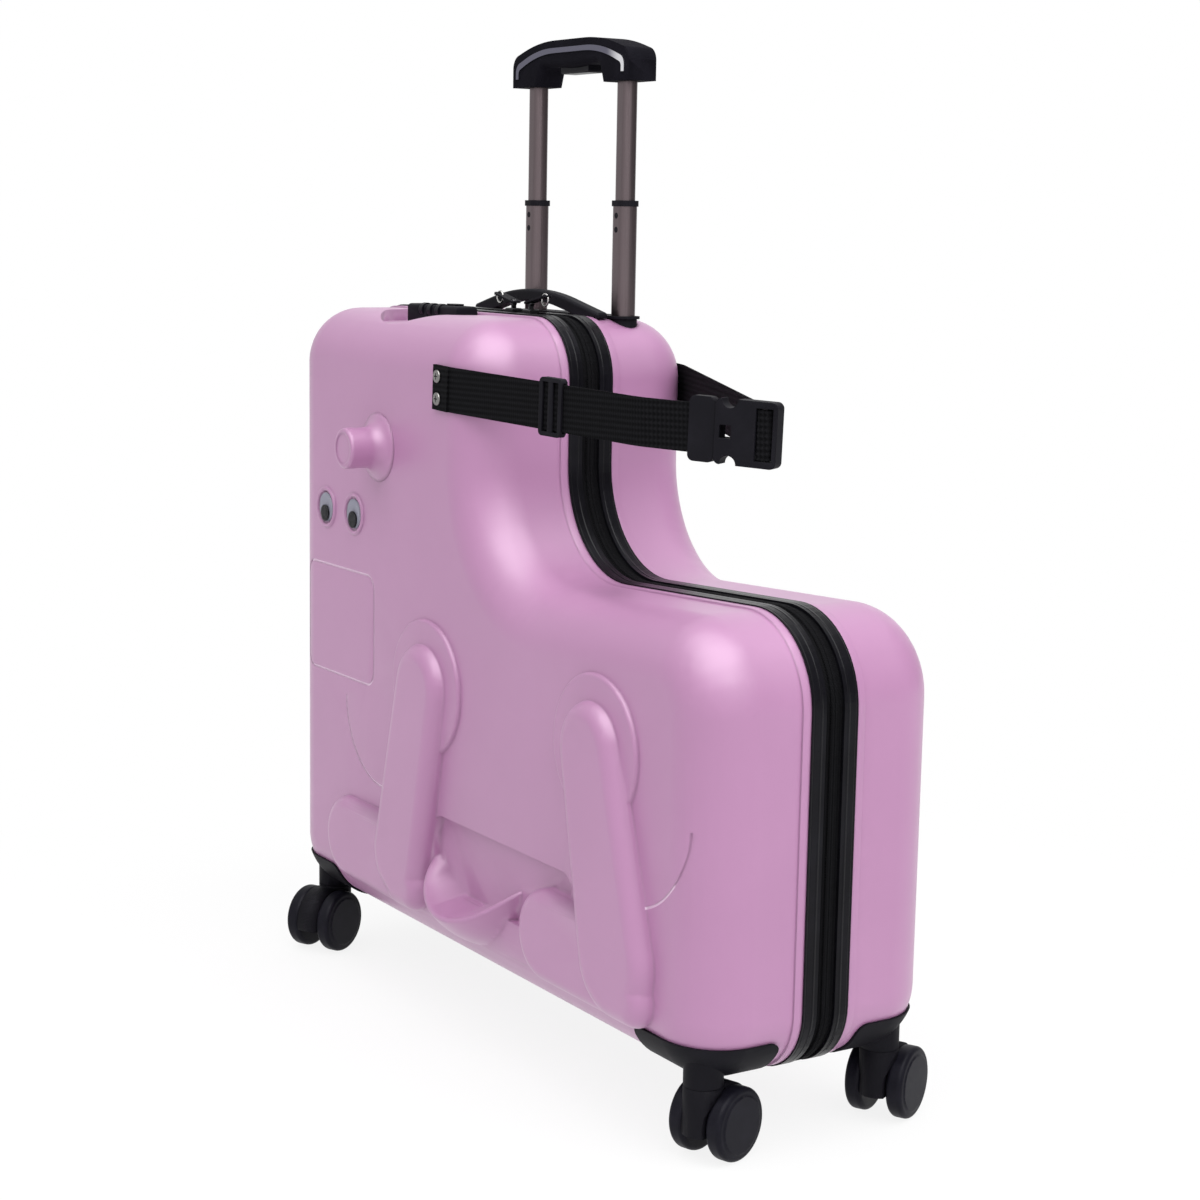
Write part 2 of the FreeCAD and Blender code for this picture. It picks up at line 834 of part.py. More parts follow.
rear_halo = (
    (P.rear_leg_top_x, P.leg_top_z, S.halo_width),
    (P.rear_leg_top_x, P.halo_low_z, S.halo_low_width),
)

tube_x = [P.trolley_x + sign * S.trolley_spacing / 2 for sign in (-1, 1)]


def tube_outline(item, x, grow):
    """Flat-sided oval of the pull-out tubes, grown outward."""
    radius = S.top_tube_radius + grow
    return capsule(
        item,
        (x - S.top_tube_half_flat, S.trolley_y, radius),
        (x + S.top_tube_half_flat, S.trolley_y, radius),
    )


def tube(name, x, outer, inner, low, high):
    """An oval tube, or a solid bar where inner is None."""
    body = new_body(name)
    item = tube_outline(sketch(body, "XY_Plane", low), x, outer)
    if inner is not None:
        tube_outline(item, x, inner)
    pad(body, item, dim(high) - low)
    return body


mid_inner = S.tube_gap
mid_outer = mid_inner + S.tube_wall
outer_inner = mid_outer + S.tube_gap
outer_outer = outer_inner + S.tube_wall

# The two moulded halves of the case
outers = {}
for half in HALVES:
    tag = TAGS[half]
    skin = case_solid(f"{tag}_skin", half, -S.shell_step, S.band_half_width, S.case_half_width, S.edge_round)
    outers[half] = skin
    flange = case_solid(f"{tag}_flange", half, 0, S.band_half_width, S.band_half_width + S.flange_width)
    core = case_solid(
        f"{tag}_core",
        half,
        -S.shell_step - S.shell_wall,
        S.band_half_width - S.shell_wall,
        S.case_half_width - S.shell_wall,
        S.edge_round - S.shell_wall,
    )
    solids = [flange]
    hollows = []
    ridges = [
        ("front_halo", front_halo, S.halo_height, S.halo_edge),
        ("rear_halo", rear_halo, S.halo_height, S.halo_edge),
        ("front_foot", front_foot, S.foot_height, S.foot_edge),
        ("rear_foot", rear_foot, S.foot_height, S.foot_edge),
        ("front_leg", front_leg, S.leg_height, S.leg_edge),
        ("rear_leg", rear_leg, S.leg_height, S.leg_edge),
        ("front_heel", front_heel, S.leg_height, S.leg_edge),
        ("rear_heel", rear_heel, S.leg_height, S.leg_edge),
    ]
    for name, ends, height, edge in ridges:
        ridge, inside = relief(f"{tag}_{name}", half, *ends, height, edge)
        solids.append(ridge)
        hollows.append(inside)
    solids.append(pedal(f"{tag}_pedal", half))
    for name, x in (("front", P.eye_front_x), ("rear", P.eye_rear_x)):
        ring = doc.addObject("Part::Torus", f"{tag}_{name}_eye_ring")
        bind(ring, "Radius1", S.eye_ring_radius)
        bind(ring, "Radius2", S.eye_ring_wire)
        solids.append(place(ring, x, half * S.case_half_width, P.eye_z, 0, 0, 90))
    recess = recess_prism(f"{tag}_recess", half, 0, S.recess_depth)
    bump = recess_prism(f"{tag}_recess_back", half, S.shell_wall, S.recess_depth + S.shell_wall)
    outside_cuts = [recess]
    inside_keeps = [bump]
    if half < 0:
        seat = rod(
            "lock_seat", "z", S.lock_seat_radius, S.lock_height * 2, P.lock_x, -S.lock_seat_y, P.lock_seat_z
        )
        lip = slab(
            "lock_lip",
            half,
            P.lock_x - S.lock_seat_radius,
            0,
            P.lock_seat_z,
            S.lock_seat_radius * 2,
            S.band_half_width + S.flange_width,
            S.lock_height * 2,
        )
        outside_cuts.append(cut("lock_scoop", seat, lip))
        inside_keeps.append(
            rod(
                "lock_seat_back",
                "z",
                S.lock_seat_radius + S.shell_wall,
                S.lock_height * 2,
                P.lock_x,
                -S.lock_seat_y,
                P.lock_seat_z - S.shell_wall,
            )
        )
    deeper = case_solid(
        f"{tag}_deeper",
        half,
        -S.shell_step - S.groove_depth,
        S.band_half_width,
        S.case_half_width - S.groove_depth,
        S.edge_round - S.groove_depth,
    )
    panel_out = panel_prism(f"{tag}_panel_out", half, dim(0))
    panel_in = panel_prism(f"{tag}_panel_in", half, S.groove_width)
    frame = cut(f"{tag}_panel", panel_out, panel_in)
    grooves = [
        cut(f"{tag}_panel_groove", frame, deeper),
        arc_groove(f"{tag}_chest", half, P.chest_x, P.chest_z, True, deeper),
        arc_groove(f"{tag}_hip", half, P.hip_x, P.hip_z, False, deeper),
    ]
    body_out = fuse(f"{tag}_outside", cut(f"{tag}_sunk", skin, *outside_cuts, *grooves), *solids)
    body_in = fuse(f"{tag}_inside", cut(f"{tag}_hollow", core, *inside_keeps), *hollows)
    holes = []
    if half > 0:
        for index, x in enumerate(tube_x):
            hole_size = outer_outer + S.tube_gap
            hole_top = S.case_top + S.shell_wall
            holes.append(tube(f"shell_hole_{index}", x, hole_size, None, P.mid_tube_low, hole_top))
    node(cut(f"{tag}_wall", body_out, body_in, *holes), f"{tag}_shell")

# Bound edges, zip tapes with their coils, and the cloth hinge at the front end
for half in HALVES:
    tag = TAGS[half]
    inner_edge = S.band_half_width - S.binding_width
    node(
        case_ring(
            f"{tag}_binding_hoop", half, S.binding_proud, -S.binding_depth, inner_edge, S.band_half_width
        ),
        f"{tag}_binding",
    )
    tape_low = -S.tape_sunk - S.tape_thickness
    coil_high = S.coil_height - S.tape_sunk
    tape = case_ring(f"{tag}_tape", half, -S.tape_sunk, tape_low, S.parting / 2, inner_edge)
    coil = case_ring(f"{tag}_coil", half, coil_high, tape_low, S.parting / 2, S.coil_width)
    node(fuse(f"{tag}_tape_and_coil", tape, coil), f"{tag}_zip_tape")
    node(
        slab(
            f"{tag}_leaf",
            half,
            case_front - S.binding_proud - S.hinge_leaf_thickness,
            S.parting / 2,
            P.hinge_leaf_low,
            S.hinge_leaf_thickness,
            S.hinge_leaf_width,
            S.hinge_leaf_length,
        ),
        f"{tag}_hinge_leaf",
    )

divider_off = -S.shell_step - S.shell_wall - S.divider_gap
divider_start = S.band_half_width + S.divider_thickness
divider_panel = case_solid(
    "divider_panel", -1, divider_off, divider_start, divider_start + S.divider_thickness
)
seat_room = rod(
    "divider_seat_room",
    "z",
    S.lock_seat_radius + S.shell_wall + S.divider_gap,
    S.lock_height * 2,
    P.lock_x,
    -S.lock_seat_y,
    P.lock_seat_z - S.shell_wall - S.divider_gap,
)
node(cut("divider", divider_panel, seat_room), "near_divider")


# Hand pegs and googly eyes
def turned(name, half, x, z, corners, lift=0):
    """A piece turned about a line square to the side face, standing on the face."""
    body = new_body(name)
    item = outline(sketch(body, "XY_Plane"), corners)
    revolve(body, item, "V_Axis")
    return place(body, x, half * (S.case_half_width + lift), z, 180 if half < 0 else 0)


peg_corners = [
    (0, 0, 0),
    (S.peg_base_radius, 0, 0),
    (S.peg_base_radius, S.peg_lip, 0),
    (S.peg_radius, S.peg_flare, S.peg_flare_round),
    (S.peg_radius, S.peg_length, S.carry_edge),
    (S.peg_cap_radius, S.peg_length, 0),
    (S.peg_cap_radius, S.peg_length - S.peg_cap_depth, 0),
    (0, S.peg_length - S.peg_cap_depth, 0),
]
dome_inner = S.dome_radius - S.dome_wall
dome_corners = [
    (0, S.dome_height - S.dome_wall, 0),
    (0, S.dome_height, 0),
    (S.dome_radius, S.dome_height, S.dome_height - S.dome_wall),
    (S.dome_radius, 0, 0),
    (dome_inner, 0, 0),
    (dome_inner, S.dome_height - S.dome_wall, S.dome_wall),
]
for half in HALVES:
    tag = TAGS[half]
    node(turned(f"{tag}_peg", half, P.peg_x, P.peg_z, peg_corners), f"{tag}_hand_peg")
    whites = []
    domes = []
    for name, x in (("front", P.eye_front_x), ("rear", P.eye_rear_x)):
        whites.append(
            side_rod(
                f"{tag}_{name}_white",
                half,
                dome_inner - S.pupil_lift / 4,
                S.eye_white_thickness,
                x,
                P.eye_z,
                S.case_half_width,
            )
        )
        domes.append(turned(f"{tag}_{name}_dome", half, x, P.eye_z, dome_corners))
        node(
            side_rod(
                f"{tag}_{name}_pupil_disc",
                half,
                S.pupil_radius,
                S.pupil_thickness,
                x,
                P.eye_z - S.pupil_swing,
                S.case_half_width + S.pupil_lift,
            ),
            f"{tag}_pupil_{name}",
        )
    node(group(f"{tag}_whites", *whites), f"{tag}_eye_whites")
    node(group(f"{tag}_domes", *domes), f"{tag}_eye_domes")

# Combination lock
lock_low_x = P.lock_x - S.lock_length / 2
lock_block = box(
    "lock_block", (lock_low_x, -S.lock_near_y, P.lock_seat_z), (S.lock_length, S.lock_width, S.lock_height)
)
lock_top = P.lock_seat_z + S.lock_height
lock_case = round_edges("lock_case", lock_block, lambda point: near(point.z, lock_top), S.lock_round)
dial_z = P.lock_seat_z + S.dial_axis_lift
wells = []
for index, letter in enumerate("abc"):
    low_x = P.dial_first_x + index * S.dial_pitch - S.dial_width / 2
    well_width = S.dial_width + S.dial_gap * 2
    well_radius = S.dial_radius + S.dial_gap
    bore_radius = S.dial_pin_radius + S.running_gap
    wells.append(
        rod(f"dial_well_{letter}", "x", well_radius, well_width, low_x - S.dial_gap, -S.dial_axis_y, dial_z)
    )
    wheel = rod(f"dial_wheel_{letter}", "x", S.dial_radius, S.dial_width, low_x, -S.dial_axis_y, dial_z)
    bore = rod(f"dial_bore_{letter}", "x", bore_radius, S.dial_width, low_x, -S.dial_axis_y, dial_z)
    node(cut(f"dial_{letter}", wheel, bore), f"lock_dial_{letter}")
release_low_y = -S.lock_near_y + S.lock_width / 2 - S.release_width / 2
release_low_x = P.release_x - S.release_length / 2
well_span = S.release_length + S.release_well * 4
wells.append(
    box(
        "release_well",
        (P.release_x - well_span / 2, release_low_y - S.dial_gap, lock_top - S.release_well),
        (well_span, S.release_width + S.dial_gap * 2, S.release_well * 2),
    )
)
lock_hollowed = cut("lock_hollowed", lock_case, *wells)
pin = rod(
    "dial_pin",
    "x",
    S.dial_pin_radius,
    S.dial_pitch * 2 + S.dial_width * 2,
    P.dial_first_x - S.dial_width,
    -S.dial_axis_y,
    dial_z,
)
node(fuse("lock_with_pin", lock_hollowed, pin), "lock_body")
node(
    box(
        "release_slide",
        (release_low_x, release_low_y, lock_top - S.release_well + S.dial_gap / 2),
        (S.release_length, S.release_width, S.release_height),
    ),
    "lock_release",
)

# Zip sliders and their pull tabs
slider_z = S.case_top + S.coil_height - S.tape_sunk + S.slider_gap
pull_pivot = slider_z + S.slider_height + S.bridge_rise
for name, x, turn in (("front", P.slider_front_x, 180), ("rear", P.slider_rear_x, 0)):
    shoe = box(
        f"slider_{name}_shoe",
        (x - S.slider_length / 2, -S.slider_width / 2, slider_z),
        (S.slider_length, S.slider_width, S.slider_height),
    )
    shoe_top = slider_z + S.slider_height
    shoe_round = round_edges(
        f"slider_{name}_round", shoe, lambda point: near(point.z, shoe_top), S.slider_round
    )
    half_bridge = S.bridge_width / 2
    bridge = rod(f"slider_{name}_bridge", "y", S.bridge_radius, S.bridge_width, x, -half_bridge, pull_pivot)
    post = box(
        f"slider_{name}_post",
        (x - S.bridge_post / 2, -S.bridge_width / 2, slider_z),
        (S.bridge_post, S.bridge_width, S.slider_height + S.bridge_rise),
    )
    node(fuse(f"slider_{name}", shoe_round, post, bridge), f"zip_slider_{name}")
    body = new_body(f"pull_{name}")
    item = sketch(body, "XY_Plane")
    eye_half = S.bridge_width / 2 + S.slider_gap
    far_end = S.pull_length
    outline(
        item,
        [
            (-S.pull_width / 2, -S.pull_width / 2, S.bridge_width / 2),
            (far_end, -S.pull_width / 2, S.bridge_width),
            (far_end, S.pull_width / 2, S.bridge_width),
            (-S.pull_width / 2, S.pull_width / 2, S.bridge_width / 2),
        ],
    )
    outline(
        item,
        [
            (-S.bridge_radius - S.slider_gap, -eye_half, S.slider_gap),
            (S.bridge_radius + S.slider_gap, -eye_half, S.slider_gap),
            (S.bridge_radius + S.slider_gap, eye_half, S.slider_gap),
            (-S.bridge_radius - S.slider_gap, eye_half, S.slider_gap),
        ],
    )
    pad(body, item, S.pull_thickness)
    place(body, x, 0, pull_pivot + S.slider_gap, turn, -S.pull_tilt.value)
    node(body, f"zip_pull_{name}")

# Pull-out handle: fixed tubes, middle tubes, top tubes and grip
outer_tubes = []
mid_tubes = []
top_tubes = []
collars = []
holes = []
for index, x in enumerate(tube_x):
    collar_top = P.mid_tube_top + S.collar_height
    tube_top = P.grip_low + S.grip_socket
    bezel_over = shell_top + S.bezel_thickness * 2
    outer_tubes.append(tube(f"outer_tube_{index}", x, outer_outer, outer_inner, P.outer_tube_low, shell_top))
    mid_tubes.append(tube(f"mid_tube_{index}", x, mid_outer, mid_inner, P.mid_tube_low, P.mid_tube_top))
    top_tubes.append(tube(f"top_tube_{index}", x, 0, -S.tube_wall, P.top_tube_low, tube_top))
    collars.append(
        tube(f"collar_{index}", x, mid_outer + S.collar_proud, S.tube_gap, P.mid_tube_top, collar_top)
    )
    holes.append(tube(f"bezel_hole_{index}", x, outer_inner, None, shell_top - S.tube_wall, bezel_over))
node(group("outer_tube_pair", *outer_tubes), "trolley_outer_tubes")
node(group("mid_tube_pair", *mid_tubes), "trolley_mid_tubes")
node(group("top_tube_pair", *top_tubes), "trolley_top_tubes")
node(group("collar_pair", *collars), "trolley_collars")

plate = new_body("bezel_plate")
half_length = S.bezel_length / 2
half_width = S.bezel_width / 2
plate_corners = [
    (P.trolley_x - half_length, S.trolley_y - half_width, S.bezel_round),
    (P.trolley_x + half_length, S.trolley_y - half_width, S.bezel_round),
    (P.trolley_x + half_length, S.trolley_y + half_width, S.bezel_round),
    (P.trolley_x - half_length, S.trolley_y + half_width, S.bezel_round),
]
pad(plate, outline(sketch(plate, "XY_Plane", shell_top), plate_corners), S.bezel_thickness)
node(cut("bezel_body", plate, *holes), "trolley_bezel")

grip_left = P.trolley_x - S.grip_length / 2
grip_right = P.trolley_x + S.grip_length / 2
grip = new_body("grip")
grip_corners = [
    (grip_left, P.grip_low, 0),
    (grip_left, P.grip_shoulder, S.grip_edge * 2),
    (grip_left + S.grip_shoulder_run, P.grip_top, S.grip_length),
    (grip_right - S.grip_shoulder_run, P.grip_top, S.grip_length),
    (grip_right, P.grip_shoulder, S.grip_edge * 2),
    (grip_right, P.grip_low, 0),
    (grip_right - S.grip_leg, P.grip_low, 0),
    (grip_right - S.grip_leg - S.grip_edge, P.grip_under + S.grip_belly, S.grip_edge),
    (P.trolley_x, P.grip_under, S.grip_length),
    (grip_left + S.grip_leg + S.grip_edge, P.grip_under + S.grip_belly, S.grip_edge),
    (grip_left + S.grip_leg, P.grip_low, 0),
]
grip_item = outline(sketch(grip, "XZ_Plane", -S.trolley_y - S.grip_half_depth), grip_corners)
pad(grip, grip_item, S.grip_half_depth * 2)
grip_faces = (S.trolley_y - S.grip_half_depth, S.trolley_y + S.grip_half_depth)
for face_y in grip_faces:
    face_edges = edges_where(
        grip.Shape,
        lambda point: near(point.y, face_y) and point.z > P.grip_shoulder.value - S.grip_edge.value * 2,
    )
    soften(grip, face_edges[:1], S.grip_edge)
sockets = []
for index, x in enumerate(tube_x):
    sockets.append(tube(f"grip_socket_{index}", x, 0, None, P.grip_low, P.grip_low + S.grip_socket))
button_z = P.grip_under - S.button_proud
button_well = box(
    "button_well",
    (
        P.trolley_x - S.button_length / 2 - S.button_gap,
        S.trolley_y - S.button_half_depth - S.button_gap,
        P.grip_under - S.button_gap,
    ),
    (
        S.button_length + S.button_gap * 2,
        S.button_half_depth * 2 + S.button_gap * 2,
        S.button_height + S.button_gap * 2,
    ),
)
node(cut("grip_hollowed", grip, button_well, *sockets), "grip_body")
button = box(
    "grip_button_block",
    (P.trolley_x - S.button_length / 2, S.trolley_y - S.button_half_depth, button_z),
    (S.button_length, S.button_half_depth * 2, S.button_height),
)
button_round = round_edges("grip_button_round", button, lambda point: near(point.z, button_z), S.button_round)
node(button_round, "grip_button")
trim = new_body("grip_strip")
trim_left = grip_left + S.trim_inset
trim_right = grip_right - S.trim_inset
trim_high = P.grip_top - S.trim_drop
trim_end_high = P.grip_shoulder - S.trim_drop
trim_tail_low = trim_end_high - S.trim_tail
trim_arch = S.grip_length * 0.75
trim_bend = S.grip_edge * 1.5
trim_corners = [
    (trim_left, trim_tail_low, 0),
    (trim_left, trim_end_high, trim_bend),
    (grip_left + S.grip_shoulder_run, trim_high, trim_arch),
    (grip_right - S.grip_shoulder_run, trim_high, trim_arch),
    (trim_right, trim_end_high, trim_bend),
    (trim_right, trim_tail_low, 0),
    (trim_right - S.trim_width, trim_tail_low, 0),
    (trim_right - S.trim_width, trim_end_high - S.trim_width, trim_bend - S.trim_width),
    (grip_right - S.grip_shoulder_run, trim_high - S.trim_width, trim_arch),
    (grip_left + S.grip_shoulder_run, trim_high - S.trim_width, trim_arch),
    (trim_left + S.trim_width, trim_end_high - S.trim_width, trim_bend - S.trim_width),
    (trim_left + S.trim_width, trim_tail_low, 0),
]
trim_item = outline(sketch(trim, "XZ_Plane", -grip_faces[0]), trim_corners)
pad(trim, trim_item, S.trim_thickness)
node(trim, "grip_trim")

# Carry handle on the far half's top
carry = new_body("carry")
carry_heel = shell_top + S.carry_heel
carry_corners = [
    (P.carry_left, shell_top, 0),
    (P.carry_left, carry_heel, S.carry_edge),
    (P.carry_apex_x, shell_top + S.carry_rise, S.carry_arch_radius),
    (P.carry_right, carry_heel, S.carry_edge),
    (P.carry_right, shell_top, 0),
    (P.carry_right - S.carry_foot, shell_top, 0),
    (P.carry_apex_x, shell_top + S.carry_under_rise, S.carry_under_radius),
    (P.carry_left + S.carry_foot, shell_top, 0),
]
carry_item = outline(sketch(carry, "XZ_Plane", -S.carry_y - S.carry_half_width), carry_corners)
pad(carry, carry_item, S.carry_half_width * 2)
for face_y in (S.carry_y - S.carry_half_width, S.carry_y + S.carry_half_width):
    face_edges = edges_where(carry.Shape, lambda point: near(point.y, face_y) and point.z > carry_heel.value)
    soften(carry, face_edges, S.carry_edge)
node(carry, "carry_handle")


# Safety strap: two lengths of webbing, adjuster, buckle and rivets
def webbing(name, half, bend_x, route):
    """A strap swept in plan along its route from the anchor, then tipped down."""
    body = new_body(name)
    anchor_y = half * (S.case_half_width + S.webbing_thickness / 2)
    spine = outline(
        sketch(body, "XY_Plane"),
        [(0, anchor_y, 0), (bend_x - P.strap_start_x, anchor_y, S.strap_turn), *route],
        closed=False,
    )
    profile = sketch(body, "YZ_Plane")
    thick = S.webbing_thickness / 2
    tall = S.webbing_width / 2
    outline(
        profile,
        [
            (anchor_y - thick, -tall, 0),
            (anchor_y + thick, -tall, 0),
            (anchor_y + thick, tall, 0),
            (anchor_y - thick, tall, 0),
        ],
    )
    pipe = body.newObject("PartDesign::AdditivePipe", f"{name}_pipe")
    pipe.Profile = profile
    pipe.Spine = spine
    refresh()
    place(body, P.strap_start_x, 0, P.strap_z, 0, S.strap_fall.value)
    fold = slab(
        f"{name}_fold",
        half,
        P.strap_start_x - tall * math.sin(fall),
        S.case_half_width + S.webbing_thickness,
        P.strap_z - tall * math.cos(fall),
        S.strap_fold,
        S.webbing_thickness,
        S.webbing_width,
    )
    fold.Placement.Rotation = FreeCAD.Rotation(0, S.strap_fall.value, 0)
    return fuse(f"{name}_whole", body, fold)


fall = math.radians(S.strap_fall.value)
yaw = math.radians(S.buckle_yaw.value)
ahead_x = math.cos(yaw)
ahead_y = math.sin(yaw)
tail_x = P.buckle_x + S.near_strap_tail * ahead_x
tail_y = S.buckle_y + S.near_strap_tail * ahead_y
run_x = P.buckle_x - S.near_strap_straight * ahead_x
run_y = S.buckle_y - S.near_strap_straight * ahead_y
near_route = [(run_x - P.strap_start_x, run_y, S.strap_turn), (tail_x - P.strap_start_x, tail_y, 0)]
node(webbing("near_webbing", -1, P.near_strap_bend_x, near_route), "near_strap")

# The far length comes from behind and turns back round the bar in the socket's window.
socket_whole = S.socket_length + S.socket_bar_length
socket_x = P.buckle_x + S.socket_start * ahead_x
socket_y = S.buckle_y + S.socket_start * ahead_y
bar_along = S.socket_length + S.socket_bar_run
bar_turn = S.socket_bar_radius + S.strap_gap / 2 + S.webbing_thickness / 2


def beside_socket(along, across):
    """The plan position at a distance along the socket and to its far side."""
    return (socket_x + along * ahead_x - across * ahead_y, socket_y + along * ahead_y + across * ahead_x)


far_anchor_y = S.case_half_width + S.webbing_thickness / 2
bar = beside_socket(bar_along, 0)
leave = math.atan2(far_anchor_y.value - bar[1].value, P.far_strap_bend_x.value - bar[0].value)
half_turn = (yaw + math.pi - leave) / 2
tip = beside_socket(bar_along + bar_turn / math.tan(half_turn), -bar_turn)
tail = beside_socket(S.socket_length + S.strap_gap * 2, -bar_turn)
far_route = [
    (tip[0] - P.strap_start_x, tip[1], bar_turn),
    (tail[0] - P.strap_start_x, tail[1], 0),
]
node(webbing("far_webbing", 1, P.far_strap_bend_x, far_route), "far_strap")


def strap_height(x):
    """Height of the strap's middle at a distance x along the case."""
    return P.strap_z - (dim(x) - P.strap_start_x) * math.tan(fall)


def on_strap(item, x, y, turn):
    """Set a piece on the strap's own plane, which falls toward the seat end."""
    along = dim(x) - P.strap_start_x
    place(item, P.strap_start_x + along * math.cos(fall), y, P.strap_z - along * math.sin(fall))
    tip = FreeCAD.Rotation(V(0, 1, 0), S.strap_fall.value)
    item.Placement.Rotation = tip * FreeCAD.Rotation(V(0, 0, 1), turn)
    return item


def plate_body(name, length, height, thickness, radius):
    """A flat rounded plate that stands along the strap: length in X, height in Z."""
    body = new_body(name)
    corners = [
        (0, -height / 2, radius),
        (length, -height / 2, radius),
        (length, height / 2, radius),
        (0, height / 2, radius),
    ]
    pad(body, outline(sketch(body, "XZ_Plane", -thickness / 2), corners), thickness)
    return body


channel = S.webbing_thickness + S.strap_gap * 2
channel_high = S.webbing_width + S.strap_gap * 4


def strap_channel(name, start, length):
    """The slot that the webbing runs through."""
    return box(name, (start, -channel / 2, -channel_high / 2), (length, channel, channel_high))


adjuster_plate = plate_body(
    "adjuster_plate", S.adjuster_length, S.adjuster_height, S.adjuster_thickness, S.adjuster_round * 2
)
adjuster_windows = []
for index in range(2):
    start = S.adjuster_round * 2 + index * (S.adjuster_length - S.adjuster_round * 4 - S.adjuster_slot)
    adjuster_windows.append(
        box(
            f"adjuster_window_{index}",
            (start, -S.adjuster_thickness, -channel_high / 2),
            (S.adjuster_slot, S.adjuster_thickness, channel_high),
        )
    )
adjuster = cut(
    "adjuster",
    adjuster_plate,
    strap_channel("adjuster_channel", -S.adjuster_length, S.adjuster_length * 3),
    *adjuster_windows,
)
near_y = -(S.case_half_width + S.webbing_thickness / 2)
slant_x = run_x - P.near_strap_bend_x
slant_y = run_y - near_y
slant = math.atan2(slant_y.value, slant_x.value)
adjuster_x = P.near_strap_bend_x + S.adjuster_run * math.cos(slant)
adjuster_y = near_y + S.adjuster_run * math.sin(slant)
on_strap(adjuster, adjuster_x, adjuster_y, math.degrees(slant))
node(adjuster, "strap_adjuster")

ladder = plate_body("plug_ladder", S.plug_ladder_length, S.buckle_height, S.plug_thickness, S.buckle_round)
prongs = []
high_prong = S.plug_tongue_height / 2 - S.plug_prong_height
for name, low_z in (("low", -S.plug_tongue_height / 2), ("high", high_prong)):
    prongs.append(
        box(
            f"plug_prong_{name}",
            (S.plug_ladder_length - S.buckle_round / 2, -S.plug_tongue_thickness / 2, low_z),
            (S.plug_tongue_length, S.plug_tongue_thickness, S.plug_prong_height),
        )
    )
plug = cut(
    "plug",
    fuse("plug_solid", ladder, *prongs),
    strap_channel("plug_tail_room", -S.strap_gap, S.near_strap_tail + S.plug_travel + S.strap_gap * 2),
)
on_strap(plug, P.buckle_x, S.buckle_y, S.buckle_yaw.value)
node(plug, "buckle_plug")

socket_plate = plate_body("socket_plate", socket_whole, S.buckle_height, S.socket_thickness, S.buckle_round)
socket_room = box(
    "socket_room",
    (
        -S.strap_gap,
        -S.plug_tongue_thickness / 2 - S.strap_gap,
        -S.plug_tongue_height / 2 - S.strap_gap,
    ),
    (
        S.plug_tongue_length + S.strap_gap * 3,
        S.plug_tongue_thickness + S.strap_gap * 2,
        S.plug_tongue_height + S.strap_gap * 2,
    ),
)
notches = []
for sign in (-1, 1):
    notches.append(
        rod(
            f"socket_notch_{'low' if sign < 0 else 'high'}",
            "y",
            S.socket_notch_radius,
            S.socket_thickness * 2,
            S.socket_notch_radius + S.buckle_round,
            -S.socket_thickness,
            sign * S.buckle_height / 2,
        )
    )
bar_window = box(
    "socket_bar_window",
    (S.socket_length, -S.socket_thickness, -channel_high / 2),
    (S.socket_bar_length - S.socket_rim, S.socket_thickness * 2, channel_high),
)
look_through = box(
    "socket_look_through",
    (S.socket_window_start, -S.socket_thickness, -S.socket_window / 2),
    (S.socket_window, S.socket_thickness * 2, S.socket_window),
)
bar_length = S.webbing_width + S.buckle_round
bar_rod = rod("socket_bar", "z", S.socket_bar_radius, bar_length, bar_along, 0, -bar_length / 2)
socket_frame = cut("socket_frame", socket_plate, socket_room, bar_window, look_through, *notches)
socket = fuse("socket", socket_frame, bar_rod)
on_strap(socket, socket_x, socket_y, S.buckle_yaw.value)
node(socket, "buckle_socket")

for half in HALVES:
    tag = TAGS[half]
    heads = []
    for index, sign in enumerate((-1, 1)):
        body = new_body(f"{tag}_rivet_{index}")
        crown = S.rivet_height
        item = outline(
            sketch(body, "XY_Plane"),
            [
                (0, 0, 0),
                (S.rivet_radius, 0, 0),
                (S.rivet_radius, crown, crown * 0.7),
                (0, crown, 0),
            ],
        )
        revolve(body, item, "V_Axis")
        z = strap_height(P.rivet_x) + sign * S.rivet_spacing / 2
        face = half * (S.case_half_width + S.webbing_thickness * 2)
        place(body, P.rivet_x, face, z, 180 if half < 0 else 0)
        heads.append(body)
    node(group(f"{tag}_rivet_pair", *heads), f"{tag}_rivets")

